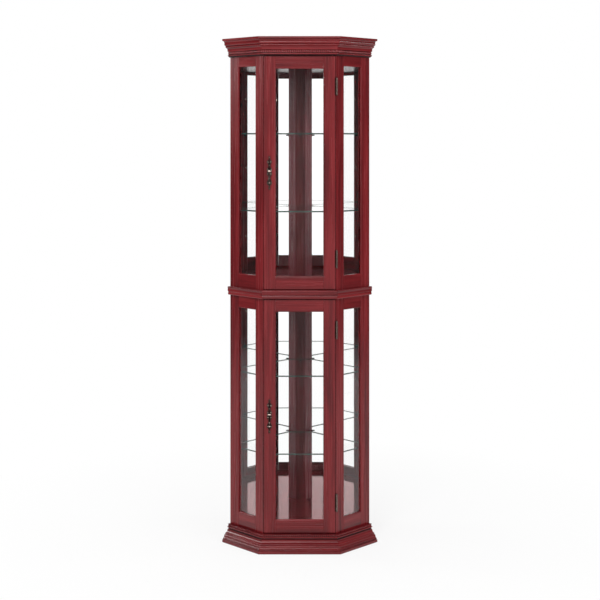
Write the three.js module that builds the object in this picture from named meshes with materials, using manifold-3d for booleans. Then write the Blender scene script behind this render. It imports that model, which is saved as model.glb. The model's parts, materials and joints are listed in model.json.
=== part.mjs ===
// Corner curio cabinet: a five-sided glazed case that stands in a room corner.
// Two doors, one above the other, close the narrow front; two glazed facets run back from it at 45
// degrees; two mirrored walls at right angles to each other form the back. All lengths are millimetres.
// X is to the right, Y runs from the door face into the corner, Z is up.

import * as THREE from 'three';
import { mergeVertices } from 'three/addons/utils/BufferGeometryUtils.js';
import Module from 'manifold-3d';

const wasm = await Module();
wasm.setup();

// Heights, from the floor up. The two doors are alike.
const baseHeight = 62;
const doorHeight = 829;
const waistHeight = 31;
const corniceHeight = 66;
const doorEndGap = 3;

// Plan of the case
const bodyWidth = 508;
const frontWidthShare = 0.508;
const sideDepth = 34.7;
const rearFlatWidth = 35;

// Frames, boards and panes
const frameThickness = 16;
const doorThickness = 15;
const boardThickness = 16;
const glassThickness = 3;
const mirrorThickness = 3;
const backPanelThickness = 5;
const baseRailThickness = 20;
const corniceWallThickness = 18;
const doorStileWidth = 42.3;
const doorTopRailWidth = 44;
const doorBottomRailWidth = 47;
const frontStileWidth = 42.5;
const outerStileWidth = 45;
const facetBottomRailWidth = 52;
const facetRailBelowWaist = 43;
const facetRailAboveWaist = 50;
const facetTopRailWidth = 37;
const grooveDepth = 8;
const grooveSetback = 5;

// Clearances
const jointGap = 0.3;
const doorSideGap = 1.7;
const doorRestGap = 0.4;
const overrun = 2;

// Levels and half widths that follow from the sizes above
const lowerDoorBottom = baseHeight + doorEndGap;
const waistBottom = lowerDoorBottom + doorHeight + doorEndGap;
const waistTop = waistBottom + waistHeight;
const upperDoorBottom = waistTop + doorEndGap;
const corniceBottom = upperDoorBottom + doorHeight + doorEndGap;
const totalHeight = corniceBottom + corniceHeight;
const bodyHalf = bodyWidth / 2;
const frontHalf = bodyHalf * frontWidthShare;
const doorHalf = frontHalf - doorSideGap;
const tipDepth = bodyHalf - frontHalf;
const root2 = Math.SQRT2;
const mitreSlope = Math.tan(Math.PI / 8);

// Places on the right-hand facet: s runs along its face from the front corner, n runs square to the
// face into the case. The back wall is square to the facet, so it lies at a constant s.
const facetPoint = (s, n) => [frontHalf + (s - n) / root2, (s + n) / root2];
// Where the line at a constant n or s crosses a line at a constant depth
const crossAtN = (n, depth) => [depth + frontHalf - n * root2, depth];
const crossAtS = (s, depth) => [frontHalf + s * root2 - depth, depth];
const facetLength = tipDepth * root2;
const sideStep = sideDepth / root2;
const panelOuterS = facetLength + sideStep;
const panelInnerS = panelOuterS - backPanelThickness;
const mirrorBackS = panelInnerS - jointGap;
const mirrorFaceS = mirrorBackS - mirrorThickness;
const rearDepth = frontHalf + panelOuterS * root2 - rearFlatWidth / 2;

// The outer stile is deeper at its wall end, where the back panel sits in a rabbet
const rabbetLip = 3;
const rabbetLanding = 8;
const wallEndLength = 16;
const rabbetStartN = sideStep + rabbetLip;
const wallEndN = rabbetStartN + rabbetLanding;
const wallEndStartS = panelInnerS - wallEndLength;

// The rear post is a square bar in the corner with its front edge planed flat
const postSide = 44.5;
const postFlatWidth = 36.8;
const postSideN = mirrorFaceS + frontHalf * root2 - postSide;
const postFrontDepth = postSideN * root2 + postFlatWidth / 2 - frontHalf;

const wood = new THREE.MeshStandardMaterial({ color: 0x7a2c34, roughness: 0.42, metalness: 0 });
const panelBoard = new THREE.MeshStandardMaterial({ color: 0x4f3a30, roughness: 0.8, metalness: 0 });
const clearGlass = new THREE.MeshStandardMaterial({ color: 0xdff0ea, roughness: 0.05, metalness: 0 });
const shelfGlass = new THREE.MeshStandardMaterial({ color: 0xc4dcd4, roughness: 0.05, metalness: 0 });
const mirrorGlass = new THREE.MeshStandardMaterial({ color: 0xe6e8e8, roughness: 0.03, metalness: 1 });
const brass = new THREE.MeshStandardMaterial({ color: 0x5f5040, roughness: 0.45, metalness: 0.9 });

const cabinet = new THREE.Group();

function add(name, geometry, material) {
  const mesh = new THREE.Mesh(geometry, material);
  mesh.name = name;
  cabinet.add(mesh);
}

// A solid from a closed outline of [u, v] points. place(u, v, t) gives the corner in space, with t
// 0 on one end face and 1 on the other.
function solid(outline, place) {
  const shape = new THREE.Shape(outline.map(([u, v]) => new THREE.Vector2(u, v)));
  const geometry = new THREE.ExtrudeGeometry(shape, { depth: 1, bevelEnabled: false, steps: 1 });
  const corners = geometry.attributes.position;
  for (let i = 0; i < corners.count; i += 1) {
    corners.setXYZ(i, ...place(corners.getX(i), corners.getY(i), corners.getZ(i)));
  }
  return faceOutward(bare(geometry));
}

function bare(geometry) {
  const copy = geometry.clone();
  copy.deleteAttribute('normal');
  copy.deleteAttribute('uv');
  return mergeVertices(copy);
}

function faceOutward(geometry) {
  const corners = geometry.attributes.position;
  const index = geometry.index.array;
  const [a, b, c] = [new THREE.Vector3(), new THREE.Vector3(), new THREE.Vector3()];
  let volume = 0;
  for (let i = 0; i < index.length; i += 3) {
    a.fromBufferAttribute(corners, index[i]);
    b.fromBufferAttribute(corners, index[i + 1]);
    c.fromBufferAttribute(corners, index[i + 2]);
    volume += a.dot(b.cross(c));
  }
  if (volume < 0) {
    for (let i = 0; i < index.length; i += 3) {
      [index[i], index[i + 1]] = [index[i + 1], index[i]];
    }
  }
  geometry.computeVertexNormals();
  return geometry;
}

function toManifold(geometry) {
  const merged = bare(geometry);
  return new wasm.Manifold(new wasm.Mesh({
    numProp: 3,
    vertProperties: Float32Array.from(merged.attributes.position.array),
    triVerts: Uint32Array.from(merged.index.array),
  }));
}

function fromManifold(body) {
  const mesh = body.getMesh();
  const geometry = new THREE.BufferGeometry();
  geometry.setAttribute('position', new THREE.BufferAttribute(mesh.vertProperties, mesh.numProp));
  geometry.setIndex(new THREE.BufferAttribute(mesh.triVerts, 1));
  geometry.computeVertexNormals();
  return geometry;
}

const join = (bodies) => fromManifold(bodies.map(toManifold).reduce((all, body) => all.add(body)));

function cut(geometry, cutters) {
  const rest = cutters.map(toManifold).reduce((body, cutter) => body.subtract(cutter), toManifold(geometry));
  return fromManifold(rest);
}

// The same solid on the other side of the middle plane
function mirrored(geometry) {
  return faceOutward(bare(geometry).scale(-1, 1, 1));
}

function onBothSides(name, geometry, material) {
  add(`left_${name}`, mirrored(geometry), material);
  add(`right_${name}`, geometry, material);
}

// A plan outline raised between two levels, a box, and a right half that is closed by its mirror image
const raised = (outline, bottom, top) => solid(outline, (x, y, t) => [x, y, bottom + t * (top - bottom)]);
const rectangle = (x0, x1, y0, y1) => [[x0, y0], [x1, y0], [x1, y1], [x0, y1]];
const box = (x0, x1, y0, y1, bottom, top) => raised(rectangle(x0, x1, y0, y1), bottom, top);
const wholePlan = (rightHalf) => [...rightHalf, ...rightHalf.map(([x, y]) => [-x, y]).reverse()];

// A round bar or a turned piece whose axis runs from start along a direction
function turned(profile, sides, start, direction) {
  const geometry = new THREE.LatheGeometry(profile.map(([r, h]) => new THREE.Vector2(r, h)), sides);
  const turn = new THREE.Quaternion().setFromUnitVectors(new THREE.Vector3(0, 1, 0), direction);
  geometry.applyQuaternion(turn);
  geometry.translate(start.x, start.y, start.z);
  return faceOutward(bare(geometry));
}

const bar = (radius, length, sides, start, direction) =>
  turned([[0, 0], [radius, 0], [radius, length], [0, length]], sides, start, direction);

// Mouldings. A profile is a list of [outward, up] points, swept along the front and along the facets
// and mitred where they meet. A facet run ends square to its face at the side of the case.
const frontCorner = (o) => [frontHalf + o * mitreSlope, -o];
const facetEnd = (o) => [bodyHalf + o / root2, tipDepth - o / root2];

function mouldingRuns(name, profile) {
  const halfGap = jointGap / 2;
  add(`${name}_front_moulding`, solid(profile, (o, z, t) => {
    const [x, y] = frontCorner(o);
    return [(x - halfGap) * (2 * t - 1), y, z];
  }), wood);
  onBothSides(`${name}_moulding`, solid(profile, (o, z, t) => {
    const [x0, y0] = frontCorner(o);
    const [x1, y1] = facetEnd(o);
    const [startX, startY] = [x0 + halfGap / root2, y0 + halfGap / root2];
    return [startX + t * (x1 - startX), startY + t * (y1 - startY), z];
  }), wood);
}

// Each moulding's face, from its foot up, as shares of its overhang and height
const baseOverhang = 39.6;
const waistOverhang = 13;
const corniceOverhang = 39.6;
const baseFaceShares = [
  [1, 0], [1, 0.19], [0.97, 0.23], [0.85, 0.245], [0.81, 0.33], [0.75, 0.41], [0.67, 0.45],
  [0.53, 0.53], [0.44, 0.64], [0.38, 0.76], [0.32, 0.79], [0.33, 0.82], [0.40, 0.84],
  [0.43, 0.885], [0.40, 0.93], [0.33, 0.95], [0.32, 1],
];
const waistFaceShares = [
  [0.4, 0], [0.62, 0.04], [0.8, 0.14], [0.86, 0.3], [0.86, 0.46], [0.92, 0.5], [1, 0.53], [1, 0.95],
  [0.95, 1],
];
const corniceFaceShares = [
  [0.13, 0], [0.2, 0.05], [0.25, 0.12], [0.29, 0.16], [0.3, 0.2], [0.37, 0.22], [0.4, 0.265],
  [0.37, 0.31], [0.3, 0.33], [0.34, 0.35], [0.37, 0.42], [0.46, 0.49], [0.55, 0.52], [0.57, 0.6],
  [0.64, 0.62], [0.7, 0.67], [0.73, 0.74], [0.74, 0.79], [0.84, 0.82], [0.94, 0.87], [1, 0.89],
  [1, 1],
];
const face = (shares, overhang, bottom, height) =>
  shares.map(([out, up]) => [out * overhang, bottom + up * height]);

// The base rails carry the floor board in a step behind their top edge; the cornice stands on the top
// board and covers its edge in the same way.
const floorBoardBottom = baseHeight - boardThickness;
const topBoardTop = corniceBottom + boardThickness;
mouldingRuns('base', [
  ...face(baseFaceShares, baseOverhang, 0, baseHeight),
  [jointGap, baseHeight], [jointGap, floorBoardBottom - jointGap],
  [-baseRailThickness, floorBoardBottom - jointGap], [-baseRailThickness, 0],
]);
mouldingRuns('waist', [
  ...face(waistFaceShares, waistOverhang, waistBottom, waistHeight),
  [jointGap, waistTop], [jointGap, waistBottom],
]);
mouldingRuns('cornice', [
  ...face(corniceFaceShares, corniceOverhang, corniceBottom, corniceHeight),
  [-corniceWallThickness, totalHeight], [-corniceWallThickness, topBoardTop + jointGap],
  [jointGap, topBoardTop + jointGap], [jointGap, corniceBottom],
]);

// The rear base board is an angle under the two back walls
const rearBoardInnerS = facetLength + jointGap;
const rearBoardPlan = wholePlan([
  crossAtS(rearBoardInnerS, frontHalf + rearBoardInnerS * root2),
  [bodyHalf, frontHalf + rearBoardInnerS * root2 - bodyHalf],
  [bodyHalf, frontHalf + panelOuterS * root2 - bodyHalf],
  crossAtS(panelOuterS, rearDepth),
]).slice(0, -1);
add('rear_base_board', raised(rearBoardPlan, 0, floorBoardBottom - jointGap), wood);

// The floor and top boards cover the whole plan, under and over the frames
const boardEdgeS = panelInnerS - jointGap;
const fullPlan = wholePlan([
  [frontHalf, 0],
  [bodyHalf, tipDepth],
  [bodyHalf, frontHalf + boardEdgeS * root2 - bodyHalf],
  crossAtS(boardEdgeS, rearDepth),
]);
add('floor_board', raised(fullPlan, floorBoardBottom, baseHeight), wood);
add('top_board', raised(fullPlan, corniceBottom, topBoardTop), wood);

// The board at the waist fits between the frames and round the rear post
const stopDepth = doorThickness + doorRestGap;
const innerN = frameThickness + jointGap;
const waistPlan = wholePlan([
  [frontHalf - jointGap, 0],
  [frontHalf - jointGap, stopDepth - jointGap],
  crossAtN(innerN, stopDepth - jointGap),
  facetPoint(wallEndStartS - jointGap, innerN),
  facetPoint(wallEndStartS - jointGap, wallEndN + jointGap),
  facetPoint(boardEdgeS, wallEndN + jointGap),
  facetPoint(boardEdgeS, postSideN - jointGap),
  crossAtN(postSideN - jointGap, postFrontDepth - jointGap),
]);
add('waist_board', raised(waistPlan, waistBottom, waistTop), wood);

// Glass shelves divide each half of the cabinet into tiers
const tierCount = 3;
const shelfThickness = 5;
const shelfClearance = 2;
const shelfCornerLine = wallEndStartS - wallEndN - shelfClearance * root2;
const shelfN = frameThickness + shelfClearance;
const shelfS = mirrorFaceS - shelfClearance;
const shelfPlan = wholePlan([
  crossAtN(shelfN, doorThickness + shelfClearance),
  facetPoint(shelfCornerLine + shelfN, shelfN),
  facetPoint(shelfS, shelfS - shelfCornerLine),
  crossAtS(shelfS, postFrontDepth - shelfClearance),
]);
const aboveTiers = (bottom, top, count) =>
  bottom + (top - bottom) * count / tierCount - shelfThickness / 2;
const shelves = {
  upper_top_shelf: aboveTiers(waistTop, corniceBottom, 2),
  upper_bottom_shelf: aboveTiers(waistTop, corniceBottom, 1),
  lower_top_shelf: aboveTiers(baseHeight, waistBottom, 2),
  lower_bottom_shelf: aboveTiers(baseHeight, waistBottom, 1),
};
for (const [name, bottom] of Object.entries(shelves)) {
  add(name, raised(shelfPlan, bottom, bottom + shelfThickness), shelfGlass);
}

// Shelf pins stand out of the four stiles and the rear post, one under each shelf. A pin is fast in
// the wood that carries it.
const pinRadius = 2.5;
const pinFlangeRadius = 4;
const pinFlangeThickness = 1.2;
const pinReach = 9;
const pinEmbed = 4;
const pinSides = 10;
const frontPinInset = 21;
const outerPinInset = 17;
const inward = new THREE.Vector3(-1 / root2, 1 / root2, 0);
const outward = new THREE.Vector3(0, -1, 0);
const pinLevels = Object.values(shelves).map((bottom) => bottom - jointGap - pinRadius);

function pinsAt(x, y, direction) {
  const flangeEnd = pinEmbed + pinFlangeThickness;
  const profile = [
    [0, 0], [pinFlangeRadius, 0], [pinFlangeRadius, flangeEnd], [pinRadius, flangeEnd],
    [pinRadius, flangeEnd + pinReach], [0, flangeEnd + pinReach],
  ];
  return pinLevels.map((z) => {
    const start = new THREE.Vector3(x, y, z).addScaledVector(direction, -pinEmbed);
    return turned(profile, pinSides, start, direction);
  });
}

const outerPinS = facetLength - outerStileWidth + outerPinInset;
const frontPins = pinsAt(...facetPoint(frontPinInset, frameThickness), inward);
const outerPins = pinsAt(...facetPoint(outerPinS, frameThickness), inward);
const postPins = pinsAt(0, postFrontDepth, outward);

// Butt hinges on the right: a barrel stands in front of the corner, its leaves lie in the gap beside
// the door, let into the door edge and into the stile. The pin is fast in the fixed leaf's knuckles.
const hingeHeight = 60;
const hingeInset = 107;
const leafThickness = 1.2;
const leafWidth = 12;
const leafFront = 1;
const barrelRadius = 3;
const hingePinRadius = 1.2;
const barrelOffset = 3.5;
const barrelStandOff = 1.5;
const knuckleCount = 5;
const barrelSides = 16;
const recessDepth = leafThickness + jointGap;
const barrelX = frontHalf + barrelOffset;
const doorBottoms = { lower: lowerDoorBottom, upper: upperDoorBottom };
const hingeBottoms = (bottom) =>
  [bottom + hingeInset, bottom + doorHeight - hingeInset].map((middle) => middle - hingeHeight / 2);
const up = new THREE.Vector3(0, 0, 1);
const barrelPoint = (z) => new THREE.Vector3(barrelX, -barrelStandOff, z);

function hingeLeaf(bottom, isDoor) {
  const step = hingeHeight / knuckleCount;
  const half = leafThickness / 2;
  const top = bottom + hingeHeight;
  const plate = isDoor
    ? box(doorHalf - leafThickness, doorHalf, -barrelStandOff - half, leafWidth, bottom, top)
    : box(frontHalf, frontHalf + leafThickness, leafFront, leafWidth, bottom, top);
  const parts = [plate];
  const bores = [];
  for (let i = isDoor ? 1 : 0; i < knuckleCount; i += 2) {
    const z0 = bottom + i * step + (i > 0 ? jointGap / 2 : 0);
    const z1 = bottom + (i + 1) * step - (i < knuckleCount - 1 ? jointGap / 2 : 0);
    parts.push(bar(barrelRadius, z1 - z0, barrelSides, barrelPoint(z0), up));
    parts.push(isDoor
      ? box(doorHalf - leafThickness, barrelX, -barrelStandOff - half, half - barrelStandOff, z0, z1)
      : box(frontHalf, frontHalf + leafThickness, -barrelStandOff + half, leafWidth, z0, z1));
    const boreLength = z1 - z0 + 2 * overrun;
    const boreRadius = hingePinRadius + jointGap;
    bores.push(bar(boreRadius, boreLength, barrelSides, barrelPoint(z0 - overrun), up));
  }
  return isDoor ? cut(join(parts), bores) : join([...parts, hingePin(bottom)]);
}

function hingePin(bottom) {
  const [shaft, head] = [hingePinRadius, barrelRadius];
  const [low, high] = [-jointGap, hingeHeight + jointGap];
  return turned([
    [0, low - head], [head / 2, low - head], [head, low - head / 2], [head, low], [shaft, low],
    [shaft, high], [head, high], [head, high + head / 2], [head / 2, high + head], [0, high + head],
  ], barrelSides, barrelPoint(bottom), up);
}

for (const [level, bottom] of Object.entries(doorBottoms)) {
  hingeBottoms(bottom).forEach((z, i) => {
    const place = `${level}_${['bottom', 'top'][i]}_hinge`;
    add(`${place}_fixed_leaf`, hingeLeaf(z, false), brass);
    add(`${place}_door_leaf`, hingeLeaf(z, true), brass);
  });
}
const allHinges = Object.values(doorBottoms).flatMap(hingeBottoms);

// Facet frames: full-height stiles with three rails between them, all grooved for the glass
const grooveBack = grooveSetback + glassThickness + 2 * jointGap;
const stileTop = corniceBottom - jointGap;
const stileBottom = baseHeight + jointGap;
const glassStartS = frontStileWidth;
const glassEndS = facetLength - outerStileWidth;
const frontStilePlan = [
  [frontHalf, 0],
  facetPoint(glassStartS, 0),
  facetPoint(glassStartS, grooveSetback), facetPoint(glassStartS - grooveDepth, grooveSetback),
  facetPoint(glassStartS - grooveDepth, grooveBack), facetPoint(glassStartS, grooveBack),
  facetPoint(glassStartS, frameThickness),
  crossAtN(frameThickness, stopDepth),
  [frontHalf, stopDepth],
];
const outerStilePlan = [
  facetPoint(glassEndS, 0),
  [bodyHalf, tipDepth],
  facetPoint(panelOuterS, sideStep),
  facetPoint(panelOuterS, rabbetStartN), facetPoint(boardEdgeS, rabbetStartN),
  facetPoint(boardEdgeS, wallEndN), facetPoint(wallEndStartS, wallEndN),
  facetPoint(wallEndStartS, frameThickness), facetPoint(glassEndS, frameThickness),
  facetPoint(glassEndS, grooveBack), facetPoint(glassEndS + grooveDepth, grooveBack),
  facetPoint(glassEndS + grooveDepth, grooveSetback), facetPoint(glassEndS, grooveSetback),
];
const frontStile = join([raised(frontStilePlan, stileBottom, stileTop), ...frontPins]);
const leafRecesses = allHinges.map((bottom) => box(
  frontHalf - overrun, frontHalf + recessDepth, -overrun, leafWidth + jointGap,
  bottom - jointGap, bottom + hingeHeight + jointGap,
));
add('left_front_stile', mirrored(frontStile), wood);
add('right_front_stile', cut(frontStile, leafRecesses), wood);
onBothSides('outer_stile', join([raised(outerStilePlan, stileBottom, stileTop), ...outerPins]), wood);

// A rail's section, [depth, level], with a groove in each edge that holds glass
function railSection(depth, bottom, top, grooved) {
  const notch = (level, inside) =>
    [[grooveSetback, level], [grooveSetback, inside], [grooveBack, inside], [grooveBack, level]];
  return [
    [0, bottom], ...(grooved.bottom ? notch(bottom, bottom + grooveDepth) : []), [depth, bottom],
    [depth, top], ...(grooved.top ? notch(top, top - grooveDepth).reverse() : []), [0, top],
  ];
}

const facetWindows = {
  lower: [baseHeight + facetBottomRailWidth, waistBottom - facetRailBelowWaist],
  upper: [waistTop + facetRailAboveWaist, corniceBottom - facetTopRailWidth],
};
const facetRails = {
  facet_bottom_rail: [stileBottom, facetWindows.lower[0], { top: true }],
  facet_middle_rail: [facetWindows.lower[1], facetWindows.upper[0], { top: true, bottom: true }],
  facet_top_rail: [facetWindows.upper[1], stileTop, { bottom: true }],
};
for (const [name, [bottom, top, grooved]] of Object.entries(facetRails)) {
  onBothSides(name, solid(railSection(frameThickness, bottom, top, grooved), (n, z, t) => {
    const s = glassStartS + jointGap + t * (glassEndS - glassStartS - 2 * jointGap);
    return [...facetPoint(s, n), z];
  }), wood);
}

const paneReach = grooveDepth - jointGap;
const paneFront = grooveSetback + jointGap;
for (const [level, [bottom, top]] of Object.entries(facetWindows)) {
  const pane = raised([
    facetPoint(glassStartS - paneReach, paneFront), facetPoint(glassEndS + paneReach, paneFront),
    facetPoint(glassEndS + paneReach, paneFront + glassThickness),
    facetPoint(glassStartS - paneReach, paneFront + glassThickness),
  ], bottom - paneReach, top + paneReach);
  add(`left_${level}_facet_glass`, mirrored(pane), clearGlass);
  add(`right_${level}_facet_glass`, pane, clearGlass);
}

// Back walls: a panel on each side from floor board to top board, with a mirror in front of it in each half
const panelRearEdge = (s) => crossAtS(s, rearDepth);
onBothSides('back_panel', raised([
  facetPoint(panelInnerS, rabbetStartN + jointGap), facetPoint(panelOuterS, rabbetStartN + jointGap),
  panelRearEdge(panelOuterS), panelRearEdge(panelInnerS),
], floorBoardBottom, topBoardTop), panelBoard);

const mirrorSpans = { lower: [baseHeight, waistBottom], upper: [waistTop, corniceBottom] };
for (const [level, [bottom, top]] of Object.entries(mirrorSpans)) {
  const pane = raised([
    facetPoint(mirrorFaceS, wallEndN + jointGap), facetPoint(mirrorBackS, wallEndN + jointGap),
    facetPoint(mirrorBackS, postSideN - jointGap), facetPoint(mirrorFaceS, postSideN - jointGap),
  ], bottom + jointGap, top - jointGap);
  add(`left_${level}_mirror`, mirrored(pane), mirrorGlass);
  add(`right_${level}_mirror`, pane, mirrorGlass);
}

const postPlan = wholePlan([
  crossAtN(postSideN, postFrontDepth),
  facetPoint(boardEdgeS, postSideN),
  crossAtS(boardEdgeS, rearDepth),
]);
add('rear_post', join([raised(postPlan, stileBottom, stileTop), ...postPins]), wood);

// Doors: stiles run the full height, with the rails and the glass between them
const openingHalf = doorHalf - doorStileWidth;
const doorStilePlan = [
  [openingHalf, 0], [doorHalf, 0], [doorHalf, doorThickness], [openingHalf, doorThickness],
  [openingHalf, grooveBack], [openingHalf + grooveDepth, grooveBack],
  [openingHalf + grooveDepth, grooveSetback], [openingHalf, grooveSetback],
];

// The pull is a pierced plate with a drop that hangs from a bar between two ears
const pullLength = 120;
const pullWidth = 17;
const pullInset = 19.8;
const plateThickness = 1.6;
const pullOffset = doorHalf - pullInset;
const dropLength = 54;
const dropWidth = 11;
const dropThickness = 3;
const dropBarRadius = 1.2;
const dropBarStandOff = 5;
const dropBarRise = 6;
const dropKnuckleRadius = 2.3;
const dropKnuckleLength = 7;
const earThickness = 1.8;
const dropSides = 12;
const plateShares = [
  [0, 0.5], [0.16, 0.485], [0.22, 0.45], [0.14, 0.42], [0.3, 0.38], [0.46, 0.32], [0.34, 0.26],
  [0.24, 0.21], [0.38, 0.15], [0.5, 0.07], [0.5, -0.01], [0.36, -0.08], [0.24, -0.13], [0.36, -0.2],
  [0.48, -0.27], [0.4, -0.34], [0.2, -0.38], [0.14, -0.42], [0.22, -0.455], [0.14, -0.49], [0, -0.5],
];
const dropShares = [
  [0, -0.02], [0.2, -0.04], [0.16, -0.2], [0.3, -0.36], [0.22, -0.46], [0.4, -0.6], [0.5, -0.72],
  [0.42, -0.85], [0.2, -0.95], [0, -1],
];
const closedBothSides = (shares) =>
  [...shares, ...shares.slice(1, -1).map(([across, along]) => [-across, along]).reverse()];

function pullParts(middle) {
  const barLevel = middle + dropBarRise;
  const earReach = dropKnuckleLength / 2 + jointGap + earThickness;
  const earHalf = dropKnuckleRadius;
  const plateFront = jointGap + plateThickness;
  const sideways = new THREE.Vector3(1, 0, 0);
  const barPoint = (x) => new THREE.Vector3(x - pullOffset, -dropBarStandOff, barLevel);
  const plate = solid(closedBothSides(plateShares), (u, v, t) =>
    [u * pullWidth - pullOffset, -jointGap - t * plateThickness, middle + v * pullLength]);
  const ears = [-earReach, earReach - earThickness].map((x) => box(
    x - pullOffset, x + earThickness - pullOffset, -dropBarStandOff - earHalf, -plateFront + jointGap,
    barLevel - earHalf, barLevel + earHalf,
  ));
  const crossBar = bar(dropBarRadius, 2 * earReach, dropSides, barPoint(-earReach), sideways);
  const drop = solid(closedBothSides(dropShares), (u, v, t) =>
    [u * dropWidth - pullOffset, (t - 1 / 2) * dropThickness - dropBarStandOff, barLevel + v * dropLength]);
  const [start, length] = [-dropKnuckleLength / 2, dropKnuckleLength];
  const knuckle = bar(dropKnuckleRadius, length, dropSides, barPoint(start), sideways);
  const [boreRadius, boreStart] = [dropBarRadius + jointGap, start - overrun];
  const bore = bar(boreRadius, length + 2 * overrun, dropSides, barPoint(boreStart), sideways);
  return { plate: join([plate, ...ears, crossBar]), drop: cut(join([drop, knuckle]), [bore]) };
}

for (const [level, bottom] of Object.entries(doorBottoms)) {
  const top = bottom + doorHeight;
  const [windowBottom, windowTop] = [bottom + doorBottomRailWidth, top - doorTopRailWidth];
  const stile = raised(doorStilePlan, bottom, top);
  const edgeRecesses = hingeBottoms(bottom).map((z) => box(
    doorHalf - recessDepth, doorHalf + overrun, -overrun, leafWidth + jointGap,
    z - jointGap, z + hingeHeight + jointGap,
  ));
  const rail = (z0, z1, grooved) => solid(railSection(doorThickness, z0, z1, grooved), (y, z, t) =>
    [(2 * t - 1) * (openingHalf - jointGap), y, z]);
  const paneHalf = openingHalf + paneReach;
  const { plate, drop } = pullParts(bottom + doorHeight / 2);
  add(`${level}_door_latch_stile`, mirrored(stile), wood);
  add(`${level}_door_hinge_stile`, cut(stile, edgeRecesses), wood);
  add(`${level}_door_bottom_rail`, rail(bottom, windowBottom, { top: true }), wood);
  add(`${level}_door_top_rail`, rail(windowTop, top, { bottom: true }), wood);
  add(`${level}_door_glass`, box(
    -paneHalf, paneHalf, paneFront, paneFront + glassThickness,
    windowBottom - paneReach, windowTop + paneReach,
  ), clearGlass);
  add(`${level}_pull_plate`, plate, brass);
  add(`${level}_pull_drop`, drop, brass);
}

// The origin lies on the floor, under the middle of the cabinet's overall width and depth
cabinet.position.y = (baseOverhang - rearDepth) / 2;
const part = new THREE.Group();
part.add(cabinet);

export default part;
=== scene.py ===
# %% [markdown]
# # Corner curio cabinet
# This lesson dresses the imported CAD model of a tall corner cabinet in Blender. The case is dark
# cherry-red mahogany with two glass doors, mirrored back walls, glass shelves and antique brass fittings.
# The CAD model is the fixed frame: it says where every part lies, in metres, and which parts move.

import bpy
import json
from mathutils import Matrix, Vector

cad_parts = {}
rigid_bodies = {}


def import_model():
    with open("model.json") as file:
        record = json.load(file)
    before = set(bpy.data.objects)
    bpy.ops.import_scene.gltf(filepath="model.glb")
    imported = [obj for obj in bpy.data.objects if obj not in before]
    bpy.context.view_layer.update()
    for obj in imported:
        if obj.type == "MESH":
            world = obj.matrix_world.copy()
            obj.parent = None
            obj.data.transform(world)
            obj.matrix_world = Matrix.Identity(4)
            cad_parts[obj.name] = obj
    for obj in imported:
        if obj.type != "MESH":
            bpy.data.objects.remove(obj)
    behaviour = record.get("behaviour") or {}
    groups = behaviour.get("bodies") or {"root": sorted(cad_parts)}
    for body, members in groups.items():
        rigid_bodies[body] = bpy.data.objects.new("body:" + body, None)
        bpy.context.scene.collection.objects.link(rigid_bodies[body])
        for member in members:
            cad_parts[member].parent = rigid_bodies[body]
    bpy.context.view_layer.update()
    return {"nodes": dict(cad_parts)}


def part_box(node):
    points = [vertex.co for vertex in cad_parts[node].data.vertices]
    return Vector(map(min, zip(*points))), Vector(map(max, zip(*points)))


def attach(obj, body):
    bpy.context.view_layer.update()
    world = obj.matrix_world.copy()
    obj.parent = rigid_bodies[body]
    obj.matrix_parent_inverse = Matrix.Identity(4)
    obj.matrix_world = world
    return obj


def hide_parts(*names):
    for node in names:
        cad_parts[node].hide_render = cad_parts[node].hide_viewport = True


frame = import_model()

# %% [markdown]
# The modelling below is written in millimetres, measured from the middle of the door face at floor
# level: x to the right, y back into the corner, z up. One function turns such a place into the frame's
# metres. The door face lies where the board at the waist has its front edge.

# %% Millimetres and places
import json
import math

import bpy
from mathutils import Matrix, Vector

MM = 0.001
FRONT_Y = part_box("waist_board")[0].y
scene = bpy.context.scene


def spot(x, y, z):
    """A place in millimetres from the middle of the door face, as the frame's metres."""
    return Vector((x * MM, y * MM + FRONT_Y, z * MM))


def added(name, data):
    """A new object with this data, in the scene."""
    made = bpy.data.objects.new(name, data)
    scene.collection.objects.link(made)
    return made


print("door face at y =", round(FRONT_Y, 5))

# %% [markdown]
# The camera stands where the photograph's did: four and a half metres in front of the doors and at
# about eye level. It looks straight ahead, and a lens shift brings the whole height into the picture,
# which keeps all upright edges upright. These numbers come from matching the camera to many measured
# corners of the cabinet.

# %% Camera
IMAGE_WIDTH = 600
FOCAL_PIXELS = 1272.6
OPTICAL_CENTRE = (308.05, 135.76)
CAMERA_PLACE = (30, -4528, 1477.4)

camera_data = bpy.data.cameras.new("camera")
camera_data.lens = FOCAL_PIXELS / IMAGE_WIDTH * camera_data.sensor_width
camera_data.shift_x = 0.5 - OPTICAL_CENTRE[0] / IMAGE_WIDTH
camera_data.shift_y = OPTICAL_CENTRE[1] / IMAGE_WIDTH - 0.5
camera = added("camera", camera_data)
camera.location = spot(*CAMERA_PLACE)
camera.rotation_euler = (math.radians(90), 0, 0)
scene.camera = camera
print("lens", round(camera_data.lens, 2), "mm, shift", round(camera_data.shift_y, 4))

# %% [markdown]
# Every finish is a small graph of nodes. Colours are written as the sRGB hex values that a paint program
# shows, and Blender's shaders work with linear light, so one function converts them. The other adds a
# node to a graph, sets its properties, its sockets and the colours of a ramp, and joins it to the nodes
# before it. The short names are for the sums that come up often.

# %% Helpers for materials
LESS, PLUS, TIMES, GREATER_OF, LESSER_OF, SIZE_OF = (
    {"operation": name} for name in ("LESS_THAN", "ADD", "MULTIPLY", "MAXIMUM", "MINIMUM", "ABSOLUTE"))


def colour(code):
    """The linear value of an sRGB colour written as six hex digits."""
    parts = [int(code[i:i + 2], 16) / 255 for i in (0, 2, 4)]
    return (*[p / 12.92 if p <= 0.04045 else ((p + 0.055) / 1.055) ** 2.4 for p in parts], 1)


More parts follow.
